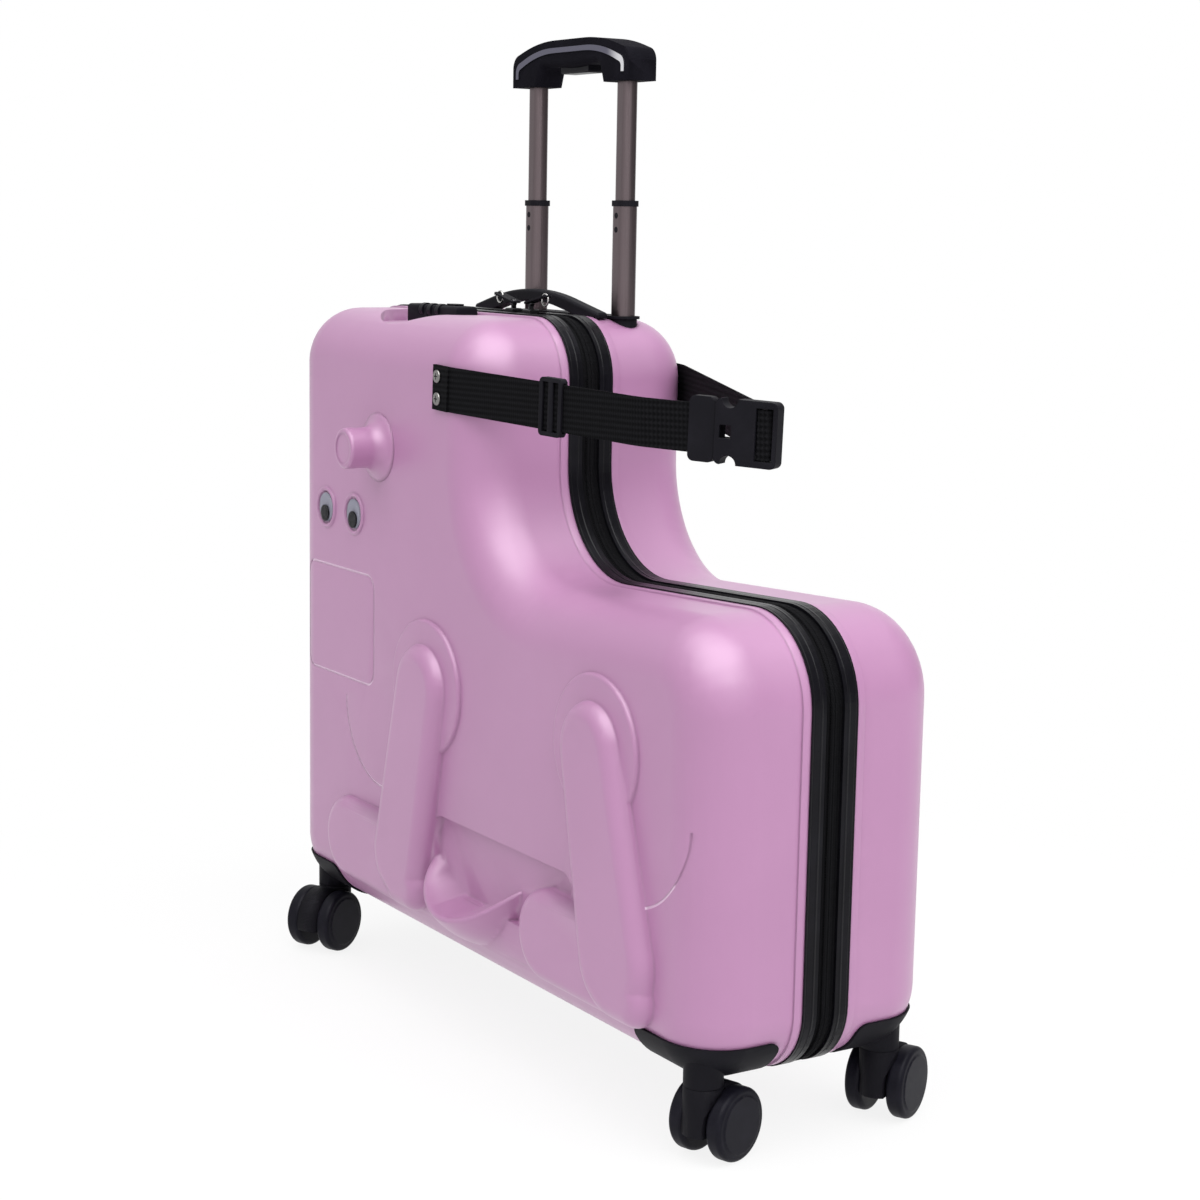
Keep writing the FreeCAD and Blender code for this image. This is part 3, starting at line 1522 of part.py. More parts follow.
# Casters at the four bottom corners
ENDS = ((-1, "front"), (1, "rear"))
wheel_in = S.fork_half_web + S.wheel_side_gap
wheel_corners = [
    (0, S.axle_radius + S.running_gap, 0),
    (0, S.wheel_radius, S.wheel_round),
    (S.wheel_width, S.wheel_radius, S.wheel_round),
    (S.wheel_width, S.wheel_disc_radius, 0),
    (S.wheel_width + S.wheel_disc_proud, S.wheel_disc_radius - S.wheel_disc_proud, 0),
    (S.wheel_width + S.wheel_disc_proud, 0, 0),
    (S.axle_depth + S.swivel_gap, 0, 0),
    (S.axle_depth + S.swivel_gap, S.axle_radius + S.running_gap, 0),
]
for half in HALVES:
    tag = TAGS[half]
    start = S.band_half_width + S.flange_width * 2
    layer = case_solid(
        f"{tag}_bracket_layer",
        half,
        S.bracket_plate - S.shell_step,
        start,
        S.case_half_width + S.bracket_plate,
        S.edge_round + S.bracket_plate,
    )
    brackets = []
    for sign, end in ENDS:
        name = f"{tag}_{end}"
        x = sign * P.caster_x
        y = half * P.caster_y
        low_x = P.bracket_inner_x if sign > 0 else -P.bracket_inner_x - S.bracket_reach
        reach = S.bracket_reach
        corner = slab(f"{name}_corner", half, low_x, P.bracket_inner_y, 0, reach, reach, P.bracket_top)
        tip_x = (sign * P.bracket_inner_x).value
        tip_y = (half * P.bracket_inner_y).value
        corner_round = round_edges(
            f"{name}_corner_round",
            corner,
            lambda point: near(point.z, P.bracket_top)
            and (near(point.x, tip_x) or near(point.y, tip_y)),
            S.bracket_tip_round,
        )
        wing = common(f"{name}_wing", layer, corner_round)
        neck = rod(f"{name}_neck", "z", S.neck_radius, P.neck_high - P.neck_low, x, y, P.neck_low)
        pin_room = rod(
            f"{name}_pin_room",
            "z",
            S.swivel_pin_radius + S.running_gap,
            P.swivel_pin_high - P.neck_low + S.swivel_gap,
            x,
            y,
            P.neck_low,
        )
        bracket_solid = fuse(f"{name}_bracket_solid", wing, neck)
        brackets.append(cut(f"{name}_bracket", bracket_solid, outers[half], pin_room))
        axle_y = y + S.wheel_trail
        stem_top = P.neck_low - S.swivel_gap
        stem = rod(f"{name}_stem", "z", S.neck_radius, stem_top - S.fork_low, x, y, S.fork_low)
        web_low = x - S.fork_half_web
        web = rod(
            f"{name}_web", "x", S.fork_web_radius, S.fork_half_web * 2, web_low, axle_y, S.wheel_radius
        )
        below = box(
            f"{name}_below",
            (x - S.fork_web_radius, axle_y - S.fork_web_radius * 2, -S.fork_web_radius),
            (S.fork_web_radius * 2, S.fork_web_radius * 4, S.fork_web_radius + S.fork_low),
        )
        wells = []
        for side, letter in ((-1, "a"), (1, "b")):
            well_low = x + S.fork_half_web if side > 0 else x - S.fork_half_web - S.wheel_radius
            wells.append(
                rod(
                    f"{name}_well_{letter}",
                    "x",
                    S.wheel_radius + S.wheel_well_gap,
                    S.wheel_radius,
                    well_low,
                    axle_y,
                    S.wheel_radius,
                )
            )
        shaped = cut(f"{name}_fork_shaped", fuse(f"{name}_fork_solid", stem, web), below, *wells)
        pin = rod(f"{name}_pin", "z", S.swivel_pin_radius, P.swivel_pin_high - stem_top, x, y, stem_top)
        axle_half = wheel_in + S.axle_depth
        axle = rod(f"{name}_axle", "x", S.axle_radius, axle_half * 2, x - axle_half, axle_y, S.wheel_radius)
        turn = getattr(S, f"{name}_swivel").value
        fork = swing(fuse(f"{name}_fork", shaped, pin, axle), x, y, turn)
        node(fork, f"{tag}_caster_fork_{end}")
        across_x = math.cos(math.radians(turn))
        across_y = math.sin(math.radians(turn))
        for side, letter in ((-1, "a"), (1, "b")):
            body = new_body(f"{name}_wheel_{letter}")
            revolve(body, outline(sketch(body, "XY_Plane"), wheel_corners), "H_Axis")
            wheel_x = x + side * wheel_in * across_x - S.wheel_trail * across_y
            wheel_y = y + side * wheel_in * across_y + S.wheel_trail * across_x
            place(body, wheel_x, wheel_y, S.wheel_radius, turn + 180 if side < 0 else turn)
            node(body, f"{tag}_wheel_{end}_{letter}")
    node(group(f"{tag}_bracket_pair", *brackets), f"{tag}_caster_brackets")

# Check every object and write each piece
refresh()
for item in NODES:
    if item.Shape.isNull() or not item.Shape.isValid():
        raise SystemExit(f"{item.Label} has no valid shape")
    item.Shape.exportStep(f"parts/{item.Label}.step")
    print(f"{item.Label}: {len(item.Shape.Solids)} solid(s), {item.Shape.Volume / 1000:.1f} cm3")
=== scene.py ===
"""Looks, camera and light for a ride-on suitcase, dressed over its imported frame."""
import json
import logging
import math
from dataclasses import dataclass
from enum import Enum

import bmesh
import bpy
from mathutils import Matrix, Vector


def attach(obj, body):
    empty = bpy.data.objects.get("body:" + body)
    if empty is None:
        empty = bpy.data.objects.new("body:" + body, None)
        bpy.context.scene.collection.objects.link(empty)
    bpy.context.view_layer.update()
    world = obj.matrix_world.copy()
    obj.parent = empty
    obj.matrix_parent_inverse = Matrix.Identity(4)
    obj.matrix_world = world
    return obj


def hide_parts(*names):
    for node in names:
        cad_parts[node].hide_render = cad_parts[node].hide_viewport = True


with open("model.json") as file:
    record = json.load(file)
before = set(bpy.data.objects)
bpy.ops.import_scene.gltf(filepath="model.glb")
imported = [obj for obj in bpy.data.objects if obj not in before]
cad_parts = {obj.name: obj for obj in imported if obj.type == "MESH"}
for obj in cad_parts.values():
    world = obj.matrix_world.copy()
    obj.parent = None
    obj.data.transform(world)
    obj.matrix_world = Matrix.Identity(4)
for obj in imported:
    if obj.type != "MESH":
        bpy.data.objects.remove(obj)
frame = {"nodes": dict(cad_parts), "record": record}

LOG = logging.getLogger("ride_on_suitcase")
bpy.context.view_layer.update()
BODY_OF = {node: body for body, nodes in frame["record"]["behaviour"]["bodies"].items() for node in nodes}
Colour = tuple[float, float, float]
Point = tuple[float, float, float]
# Edges that turn by more degrees than these stay sharp
CRISP = 30.0
ROUND_EDGED = 40.0
ROUND = 60.0


class Half(Enum):
    """The two halves of the case, by the sign of their side along Y."""

    NEAR = -1
    FAR = 1

    @property
    def tag(self) -> str:
        """The half's prefix in node names."""
        return self.name.lower()


class Ends(Enum):
    """The two ends of the case, by the sign of their place along X."""

    FRONT = -1
    REAR = 1

    @property
    def tag(self) -> str:
        """The end's part of a node name."""
        return self.name.lower()


class Value:
    """A number socket that can be used in Python arithmetic."""

    def __init__(self, shader: "Shader", socket: bpy.types.NodeSocket) -> None:
        """Wrap one output socket of a shader."""
        self.shader = shader
        self.socket = socket

    def _math(self, operation: str, *operands: "Value | float") -> "Value":
        """Add one Math node.

        Args:
            operation: The Math node's operation.
            operands: Its inputs in order.

        Returns:
            The node's result.
        """
        inputs = {index: operand for index, operand in enumerate(operands)}
        return self.shader.value("ShaderNodeMath", {"operation": operation}, inputs)

    def __add__(self, other: "Value | float") -> "Value":
        """Sum."""
        return self._math("ADD", self, other)

    def __radd__(self, other: float) -> "Value":
        """Sum with a number first."""
        return self._math("ADD", other, self)

    def __sub__(self, other: "Value | float") -> "Value":
        """Difference."""
        return self._math("SUBTRACT", self, other)

    def __rsub__(self, other: float) -> "Value":
        """Difference with a number first."""
        return self._math("SUBTRACT", other, self)

    def __mul__(self, other: "Value | float") -> "Value":
        """Product."""
        return self._math("MULTIPLY", self, other)

    def __rmul__(self, other: float) -> "Value":
        """Product with a number first."""
        return self._math("MULTIPLY", other, self)

    def __abs__(self) -> "Value":
        """Size without sign."""
        return self._math("ABSOLUTE", self)

    def sine(self) -> "Value":
        """Sine of the value in radians."""
        return self._math("SINE", self)

    def power(self, exponent: float) -> "Value":
        """The value raised to a power."""
        return self._math("POWER", self, exponent)

    def least(self, other: "Value | float") -> "Value":
        """The smaller of two values."""
        return self._math("MINIMUM", self, other)

    def most(self, other: "Value | float") -> "Value":
        """The larger of two values."""
        return self._math("MAXIMUM", self, other)

    def above(self, edge: float, soft: float) -> "Value":
        """A mask that rises from 0 to 1 around an edge.

        Args:
            edge: Where the mask is one half.
            soft: Half of the width of the rise.

        Returns:
            The mask.
        """
        settings = {"interpolation_type": "SMOOTHSTEP"}
        inputs = {"Value": self, "From Min": edge - soft, "From Max": edge + soft}
        return self.shader.value("ShaderNodeMapRange", settings, inputs)


class Shader:
    """The node tree of one material or world."""

    def __init__(self, owner: bpy.types.Material | bpy.types.World) -> None:
        """Start on a new material or world, which has its shader and its output."""
        owner.use_nodes = True
        self.owner = owner
        self.tree = owner.node_tree

    def node(self, kind: str, settings: dict | None = None, inputs: dict | None = None) -> bpy.types.Node:
        """Add a node.

        Args:
            kind: The node's type.
            settings: Attributes, set first.
            inputs: Values or links by socket name or number.

        Returns:
            The node.
        """
        node = self.tree.nodes.new(kind)
        for key, setting in (settings or {}).items():
            setattr(node, key, setting)
        for key, given in (inputs or {}).items():
            self.feed(node.inputs[key], given)
        return node

    def feed(self, socket: bpy.types.NodeSocket, given: object) -> None:
        """Give a socket a link or a plain value."""
        if isinstance(given, Value):
            self.tree.links.new(given.socket, socket)
        elif isinstance(given, bpy.types.NodeSocket):
            self.tree.links.new(given, socket)
        else:
            socket.default_value = given

    def value(self, kind: str, settings: dict | None = None, inputs: dict | None = None) -> Value:
        """Add a node and take its first output as a number."""
        return Value(self, self.node(kind, settings, inputs).outputs[0])

    def place(self) -> tuple[bpy.types.NodeSocket, list[Value]]:
        """The surface point in the object's own frame.

        Returns:
            The vector socket, and its X, Y and Z as values.
        """
        spot = self.node("ShaderNodeTexCoord").outputs["Object"]
        split = self.node("ShaderNodeSeparateXYZ", None, {0: spot})
        return spot, [Value(self, output) for output in split.outputs]

    def noise(
        self, spot: bpy.types.NodeSocket, scale: float, detail: float = 2.0, stretch: Point = (1, 1, 1)
    ) -> Value:
        """Noise over the surface.

        Args:
            spot: The vector it is read at.
            scale: Cycles per metre.
            detail: Octaves.
            stretch: Scale factors along X, Y and Z.

        Returns:
            The noise, about 0 to 1.
        """
        mapped = self.node("ShaderNodeMapping", None, {"Vector": spot, "Scale": stretch}).outputs[0]
        return self.value("ShaderNodeTexNoise", None, {"Vector": mapped, "Scale": scale, "Detail": detail})

    def blend(self, mask: Value, first: object, second: object) -> bpy.types.NodeSocket:
        """A colour that goes from one to another by a mask.

        Args:
            mask: 0 for the first, 1 for the second.
            first: A colour, or a colour socket.
            second: A colour, or a colour socket.

        Returns:
            The mixed colour's socket.
        """
        mix = self.node("ShaderNodeMix", {"data_type": "RGBA"}, {0: mask})
        sockets = [socket for socket in mix.inputs if socket.type == "RGBA"]
        for socket, given in zip(sockets, (first, second)):
            self.feed(socket, (*given, 1.0) if isinstance(given, tuple) else given)
        return next(socket for socket in mix.outputs if socket.type == "RGBA")

    def bump(
        self, height: Value, depth: float, strength: float = 1.0, normal: object = None
    ) -> bpy.types.NodeSocket:
        """A bumped normal.

        Args:
            height: The height pattern, 0 to 1.
            depth: Its depth in metres.
            strength: How strongly it shows.
            normal: A normal to start from.

        Returns:
            The normal socket.
        """
        inputs = {"Height": height, "Distance": depth, "Strength": strength}
        if normal is not None:
            inputs["Normal"] = normal
        return self.node("ShaderNodeBump", None, inputs).outputs[0]

    def dress(self, **inputs: object) -> bpy.types.Material:
        """Set the surface shader's sockets; underscores stand for spaces.

        Returns:
            The finished material.
        """
        surface = self.tree.nodes["Principled BSDF"]
        for key, given in inputs.items():
            self.feed(surface.inputs[key.replace("_", " ")], given)
        return self.owner


@dataclass(frozen=True)
class Finish:
    """A surface finish that makes its material once."""

    name: str

    def material(self) -> bpy.types.Material:
        """The finish's material, made at first use."""
        name = f"{self.name}_finish"
        return bpy.data.materials.get(name) or self.make(Shader(bpy.data.materials.new(name)))

    def make(self, shader: Shader) -> bpy.types.Material:
        """Build the material."""
        raise NotImplementedError


@dataclass(frozen=True)
class MouldedShell(Finish):
    """Satin moulded plastic with soft edges, a faint orange-peel and paler groove lines that are a painted
    highlight.
    """

    colour: Colour = (0.412, 0.198, 0.362)
    shade: Colour = (0.388, 0.184, 0.34)
    # Colour of the groove lines: a painted highlight
    rubbed: Colour = (0.88, 0.66, 0.84)
    roughness: float = 0.42
    edge: float = 0.004
    skin: float = 0.1146
    groove: float = 0.0034
    line: float = 0.0022
    panel_middle: tuple[float, float] = (-0.2465, 0.3315)
    panel_half: tuple[float, float] = (0.0695, 0.0515)
    panel_round: float = 0.015
    arc_radius: float = 0.074
    chest: tuple[float, float] = (-0.160, 0.265)
    hip: tuple[float, float] = (0.250, 0.260)

    def panel_line(self, along: Value, up: Value) -> Value:
        """A mask on the chest panel's rounded outline."""
        reach = [
            abs(value - middle) - (half - self.panel_round)
            for value, middle, half in zip((along, up), self.panel_middle, self.panel_half)
        ]
        corner = (reach[0].most(0.0).power(2.0) + reach[1].most(0.0).power(2.0)).power(0.5)
        outside = corner + reach[0].most(reach[1]).least(0.0) - self.panel_round
        return 1 - abs(outside + self.line / 2).above(self.line * 0.45, self.line * 0.2)

    def arc_line(self, along: Value, up: Value, middle: tuple[float, float], way: Ends) -> Value:
        """A mask on a quarter circle below its middle, toward one end of the case."""
        run = (along - middle[0]) * way.value
        rise = up - middle[1]
        span = (run.power(2.0) + rise.power(2.0)).power(0.5) - (self.arc_radius - self.line / 2)
        quarter = run.above(0.0, 0.001) * (1 - rise.above(0.0, 0.001))
        return (1 - abs(span).above(self.line * 0.45, self.line * 0.2)) * quarter

    def make(self, shader: Shader) -> bpy.types.Material:
        """Cloudy colour, fine peel and rounded edge normals."""
        spot, (along, across, up) = shader.place()
        cloud = shader.noise(spot, 7.0, 3.0)
        peel = shader.noise(spot, 420.0, 2.0)
        scuff = shader.noise(spot, 60.0, 5.0)
        rounded = shader.node("ShaderNodeBevel", {"samples": 6}, {"Radius": self.edge}).outputs[0]
        # Mask of the chest and hip groove lines, where the painted highlight goes
        lines = self.panel_line(along, up)
        lines = lines.most(self.arc_line(along, up, self.chest, Ends.FRONT))
        lines = lines.most(self.arc_line(along, up, self.hip, Ends.REAR))
        depth = abs(across)
        lines = lines * (1 - depth.above(self.skin, 0.0002)) * depth.above(self.skin - self.groove, 0.0002)
        cloudy = shader.blend(cloud.above(0.5, 0.3), self.shade, self.colour)
        return shader.dress(
            Base_Color=shader.blend(lines, cloudy, self.rubbed),
            Roughness=self.roughness + (scuff - 0.5) * 0.08,
            Normal=shader.bump(peel, 0.00006, 0.35, rounded),
            Specular_IOR_Level=0.35,
            Coat_Weight=0.7,
            Coat_Roughness=0.4,
        )


@dataclass(frozen=True)
class GrainPlastic(Finish):
    """Dark moulded plastic with a spark-eroded grain, paler where it is rubbed."""

    colour: Colour = (0.0062, 0.0058, 0.0085)
    worn: Colour = (0.009, 0.0085, 0.0122)
    roughness: float = 0.55
    grain: float = 1400.0
    edge: float = 0.0008
    gloss: float = 0.08

    def make(self, shader: Shader) -> bpy.types.Material:
        """Fine grain, patchy sheen and rounded edge normals."""
        spot, _ = shader.place()
        pits = shader.noise(spot, self.grain, 2.0)
        patch = shader.noise(spot, 38.0, 4.0)
        rounded = shader.node("ShaderNodeBevel", {"samples": 6}, {"Radius": self.edge}).outputs[0]
        return shader.dress(
            Base_Color=shader.blend(patch.above(0.6, 0.2), self.colour, self.worn),
            Roughness=self.roughness + (patch - 0.5) * 0.16,
            Normal=shader.bump(pits, 0.00008, 0.4, rounded),
            Specular_IOR_Level=self.gloss,
        )


@dataclass(frozen=True)
class Piping(Finish):
    """Coated edge binding: leather-like grain with a bead and a seam along it."""

    colour: Colour = (0.0038, 0.0036, 0.0052)
    worn: Colour = (0.007, 0.0067, 0.0095)
    bead: float = 0.0127
    seam: float = 0.0196

    def make(self, shader: Shader) -> bpy.types.Material:
        """Grain, a raised bead and a sunk seam at set distances from the zip."""
        spot, (_, across, _) = shader.place()
        side = abs(across)
        bead = 1 - abs(side - self.bead).above(0.0008, 0.0007)
        seam = 1 - abs(side - self.seam).above(0.0004, 0.0003)
        grain = shader.noise(spot, 900.0, 4.0)
        patch = shader.noise(spot, 30.0, 3.0)
        height = bead * 1.0 - seam * 0.8 + grain * 0.16
        return shader.dress(
            Base_Color=shader.blend(patch.above(0.55, 0.25), self.colour, self.worn),
            Roughness=0.3 + (grain - 0.5) * 0.16,
            Normal=shader.bump(height, 0.0006, 0.8),
            Specular_IOR_Level=0.12,
        )


@dataclass(frozen=True)
class Weave(Finish):
    """Woven cloth or webbing with ribs along X and picks across."""

    colour: Colour = (0.0022, 0.0022, 0.0027)
    light: Colour = (0.0075, 0.0075, 0.0088)
    rib: float = 0.0016
    pick: float = 0.0011
    depth: float = 0.0003

    def make(self, shader: Shader) -> bpy.types.Material:
        """Crossed threads with slub and a soft sheen."""
        spot, (along, across, up) = shader.place()
        slub = shader.noise(spot, 260.0, 2.0)
        turn = 2 * math.pi
        ribs = (up * (turn / self.rib)).sine() * 0.5 + 0.5
        picks = ((along - across * 0.5) * (turn / self.pick) + ribs * 1.6).sine() * 0.5 + 0.5
        threads = ribs * 0.55 + picks * 0.45
        return shader.dress(
            Base_Color=shader.blend((threads * 0.7 + slub * 0.3).above(0.55, 0.4), self.colour, self.light),
            Roughness=0.78 + (slub - 0.5) * 0.2,
            Normal=shader.bump(threads + slub * 0.3, self.depth, 0.8),
            Specular_IOR_Level=0.04,
        )


@dataclass(frozen=True)
class Anodised(Finish):
    """Drawn and anodised aluminium, with fine lines along the tube."""

    colour: Colour = (0.19, 0.152, 0.16)
    dark: Colour = (0.115, 0.09, 0.097)
    roughness: float = 0.3

    def make(self, shader: Shader) -> bpy.types.Material:
        """Drawing lines along Z and a slow tone change."""
        spot, _ = shader.place()
        lines = shader.noise(spot, 2200.0, 2.0, (1, 1, 0.012))
        tone = shader.noise(spot, 14.0, 2.0)
        return shader.dress(
            Base_Color=shader.blend(lines * 0.5 + tone * 0.5, self.dark, self.colour),
            Metallic=1.0,
            Roughness=self.roughness + (lines - 0.5) * 0.14,
            Normal=shader.bump(lines, 0.00002, 0.3),
        )


@dataclass(frozen=True)
class Metal(Finish):
    """Bright or plated metal with fine handling marks."""

    colour: Colour = (0.62, 0.61, 0.6)
    dark: Colour = (0.42, 0.41, 0.4)
    roughness: float = 0.22

    def make(self, shader: Shader) -> bpy.types.Material:
        """Rubbed tone and scratches."""
        spot, _ = shader.place()
        rub = shader.noise(spot, 300.0, 4.0)
        marks = shader.noise(spot, 1500.0, 2.0, (1, 0.15, 1))
        return shader.dress(
            Base_Color=shader.blend(rub, self.dark, self.colour),
            Metallic=1.0,
            Roughness=self.roughness + (marks - 0.5) * 0.2,
            Normal=shader.bump(marks, 0.00002, 0.3),
        )


@dataclass(frozen=True)
class Tread(Finish):
    """Satin wheel material, a little dusty on the running face."""

    colour: Colour = (0.0066, 0.0062, 0.0105)
    dust: Colour = (0.0105, 0.010, 0.0155)

    def make(self, shader: Shader) -> bpy.types.Material:
        """Moulding grain with cloudy dust."""
        spot, _ = shader.place()
        grain = shader.noise(spot, 1100.0, 3.0)
        dust = shader.noise(spot, 70.0, 5.0)
        rounded = shader.node("ShaderNodeBevel", {"samples": 6}, {"Radius": 0.0012}).outputs[0]
        return shader.dress(
            Base_Color=shader.blend(dust.above(0.58, 0.2), self.colour, self.dust),
            Roughness=0.44 + (dust - 0.5) * 0.2,
            Normal=shader.bump(grain, 0.00006, 0.35, rounded),
            Specular_IOR_Level=0.09,
        )


@dataclass(frozen=True)
class Card(Finish):
    """Smooth printed card or hard plastic of one tone with faint mottling."""

    colour: Colour = (0.8, 0.8, 0.79)
    mottle: Colour = (0.72, 0.72, 0.72)
    roughness: float = 0.4
    gloss: float = 0.5

    def make(self, shader: Shader) -> bpy.types.Material:
        """Mottled tone."""
        spot, _ = shader.place()
        mottle = shader.noise(spot, 240.0, 4.0)
        return shader.dress(
            Base_Color=shader.blend(mottle, self.mottle, self.colour),
            Roughness=self.roughness + (mottle - 0.5) * 0.12,
            Specular_IOR_Level=self.gloss,
        )


@dataclass(frozen=True)
class BrightStrip(Finish):
    """Satin metal strip that turns pale and smoother past one bend, the pale colour a painted reflection.
    """

    satin: Colour = (0.15, 0.145, 0.195)
    # Pale colour past the bend: a painted reflection
    polished: Colour = (0.9, 0.9, 0.93)
    bend: float = -0.037
    soft: float = 0.012

    def make(self, shader: Shader) -> bpy.types.Material:
        """Brushed tone that turns to a painted reflection past the bend."""
        spot, (along, _, _) = shader.place()
        brushed = shader.noise(spot, 900.0, 2.0, (0.1, 1, 1))
        # Mask of the painted reflection, set by the place along X
        reflection_mask = along.above(self.bend, self.soft)
        return shader.dress(
            Base_Color=shader.blend(reflection_mask, self.satin, self.polished),
            Metallic=1.0,
            Roughness=0.34 + (brushed - 0.5) * 0.16 - reflection_mask * 0.12,
            Normal=shader.bump(brushed, 0.00002, 0.3),
        )


@dataclass(frozen=True)
class ClearDome(Finish):
    """Thin clear plastic seen mostly by its reflections."""

    def make(self, shader: Shader) -> bpy.types.Material:
        """Mostly see-through, with a cloudy gloss."""
        spot, _ = shader.place()
        haze = shader.noise(spot, 180.0, 3.0)
        material = shader.dress(
            Base_Color=(0.1, 0.1, 0.12, 1.0),
            Roughness=0.04 + haze * 0.05,
            Alpha=0.02 + haze * 0.02,
            IOR=1.49,
        )
        material.surface_render_method = "BLENDED"
        return material


SHELL = MouldedShell("case_shell")
PLASTIC = GrainPlastic("grain_plastic")
SOFT_PLASTIC = GrainPlastic("soft_plastic", roughness=0.7, gloss=0.02)
SMOOTH_PLASTIC = GrainPlastic("smooth_plastic", roughness=0.3, grain=900.0)
COIL = GrainPlastic(
    "zip_coil", colour=(0.02, 0.02, 0.024), worn=(0.03, 0.03, 0.035), roughness=0.35, gloss=0.4
)
PIPING = Piping("piping")
TAPE = Weave("zip_tape", rib=0.0012, pick=0.0012, depth=0.0002)
WEBBING = Weave("webbing", light=(0.009, 0.009, 0.0105), pick=0.0024, rib=0.0045, depth=0.0004)
LINING = Weave("lining", colour=(0.10, 0.10, 0.11), light=(0.16, 0.16, 0.17), rib=0.0009, pick=0.0009)
TUBE = Anodised("tube")
STEEL = Metal("rivet", colour=(0.30, 0.29, 0.28), dark=(0.16, 0.155, 0.15), roughness=0.3)
RING = Metal("pull_ring")
PLATED = Metal("zip_metal", colour=(0.10, 0.10, 0.105), dark=(0.05, 0.05, 0.055), roughness=0.3)
TREAD = Tread("wheel")
WHITE = Card("eye_white", colour=(0.30, 0.30, 0.37), mottle=(0.25, 0.25, 0.31), gloss=0.15)
BLACK = Card("pupil", colour=(0.008, 0.008, 0.01), mottle=(0.005, 0.005, 0.006), roughness=0.18, gloss=0.06)
CLEAR = ClearDome("eye_dome")
TRIM = BrightStrip("grip_trim")


def add_piece(name: str, mesh: bpy.types.Mesh, finish: Finish, body: str) -> bpy.types.Object:
    """Make a mesh a piece that rides on a body.

    Args:
        name: The piece's name.
        mesh: Its mesh, in the frame's metres.
        finish: Its finish.
        body: The CAD body it moves with.

    Returns:
        The piece.
    """
    mesh.materials.clear()
    mesh.materials.append(finish.material())
    piece = bpy.data.objects.new(name, mesh)
    bpy.context.collection.objects.link(piece)
    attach(piece, body)
    LOG.info("%s on %s: %d faces", name, body, len(mesh.polygons))
    return piece


def mesh_from(work: bmesh.types.BMesh, name: str, sharp: float) -> bpy.types.Mesh:
    """Turn a bmesh into a smooth-shaded mesh.

    Args:
        work: The bmesh, freed here.
        name: The mesh's name.
        sharp: Edges that turn by more degrees than this stay sharp.

    Returns:
        The mesh.
    """
    mesh = bpy.data.meshes.new(name)
    for face in work.faces:
        face.smooth = True
    work.to_mesh(mesh)
    work.free()
    mesh.set_sharp_from_angle(angle=math.radians(sharp))
    return mesh


def dress_node(node: str, finish: Finish, sharp: float = 32.0) -> bpy.types.Object:
    """Stand a smooth copy of a CAD node in for it.

    Args:
        node: The node's name.
        finish: The copy's finish.
        sharp: Edges that turn by more degrees than this stay sharp.

    Returns:
        The piece.
    """
    work = bmesh.new()
    work.from_mesh(frame["nodes"][node].data)
    bmesh.ops.remove_doubles(work, verts=work.verts, dist=1e-6)
    piece = add_piece(f"{node}_look", mesh_from(work, f"{node}_look", sharp), finish, BODY_OF[node])
    shading = piece.modifiers.new("even_shading", "WEIGHTED_NORMAL")
    shading.keep_sharp = True
    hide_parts(node)
    return piece


def islands(node: str) -> list[tuple[Vector, Vector]]:
    """The boxes of a node's separate solids.

    Args:
        node: The node's name.

    Returns:
        A list of (low corner, high corner), in order along X, Y and Z.
    """
    work = bmesh.new()
    work.from_mesh(frame["nodes"][node].data)
    bmesh.ops.remove_doubles(work, verts=work.verts, dist=1e-6)
    waiting = set(work.verts)
    boxes = []
    while waiting:
        edge = [waiting.pop()]
        found = list(edge)
        while edge:
            vert = edge.pop()
            for link in vert.link_edges:
                other = link.other_vert(vert)
                if other in waiting:
                    waiting.remove(other)
                    edge.append(other)
                    found.append(other)
        low = Vector(min(vert.co[axis] for vert in found) for axis in range(3))
        high = Vector(max(vert.co[axis] for vert in found) for axis in range(3))
        boxes.append((low, high))
    work.free()
    return sorted(boxes, key=lambda box: tuple(box[0]))


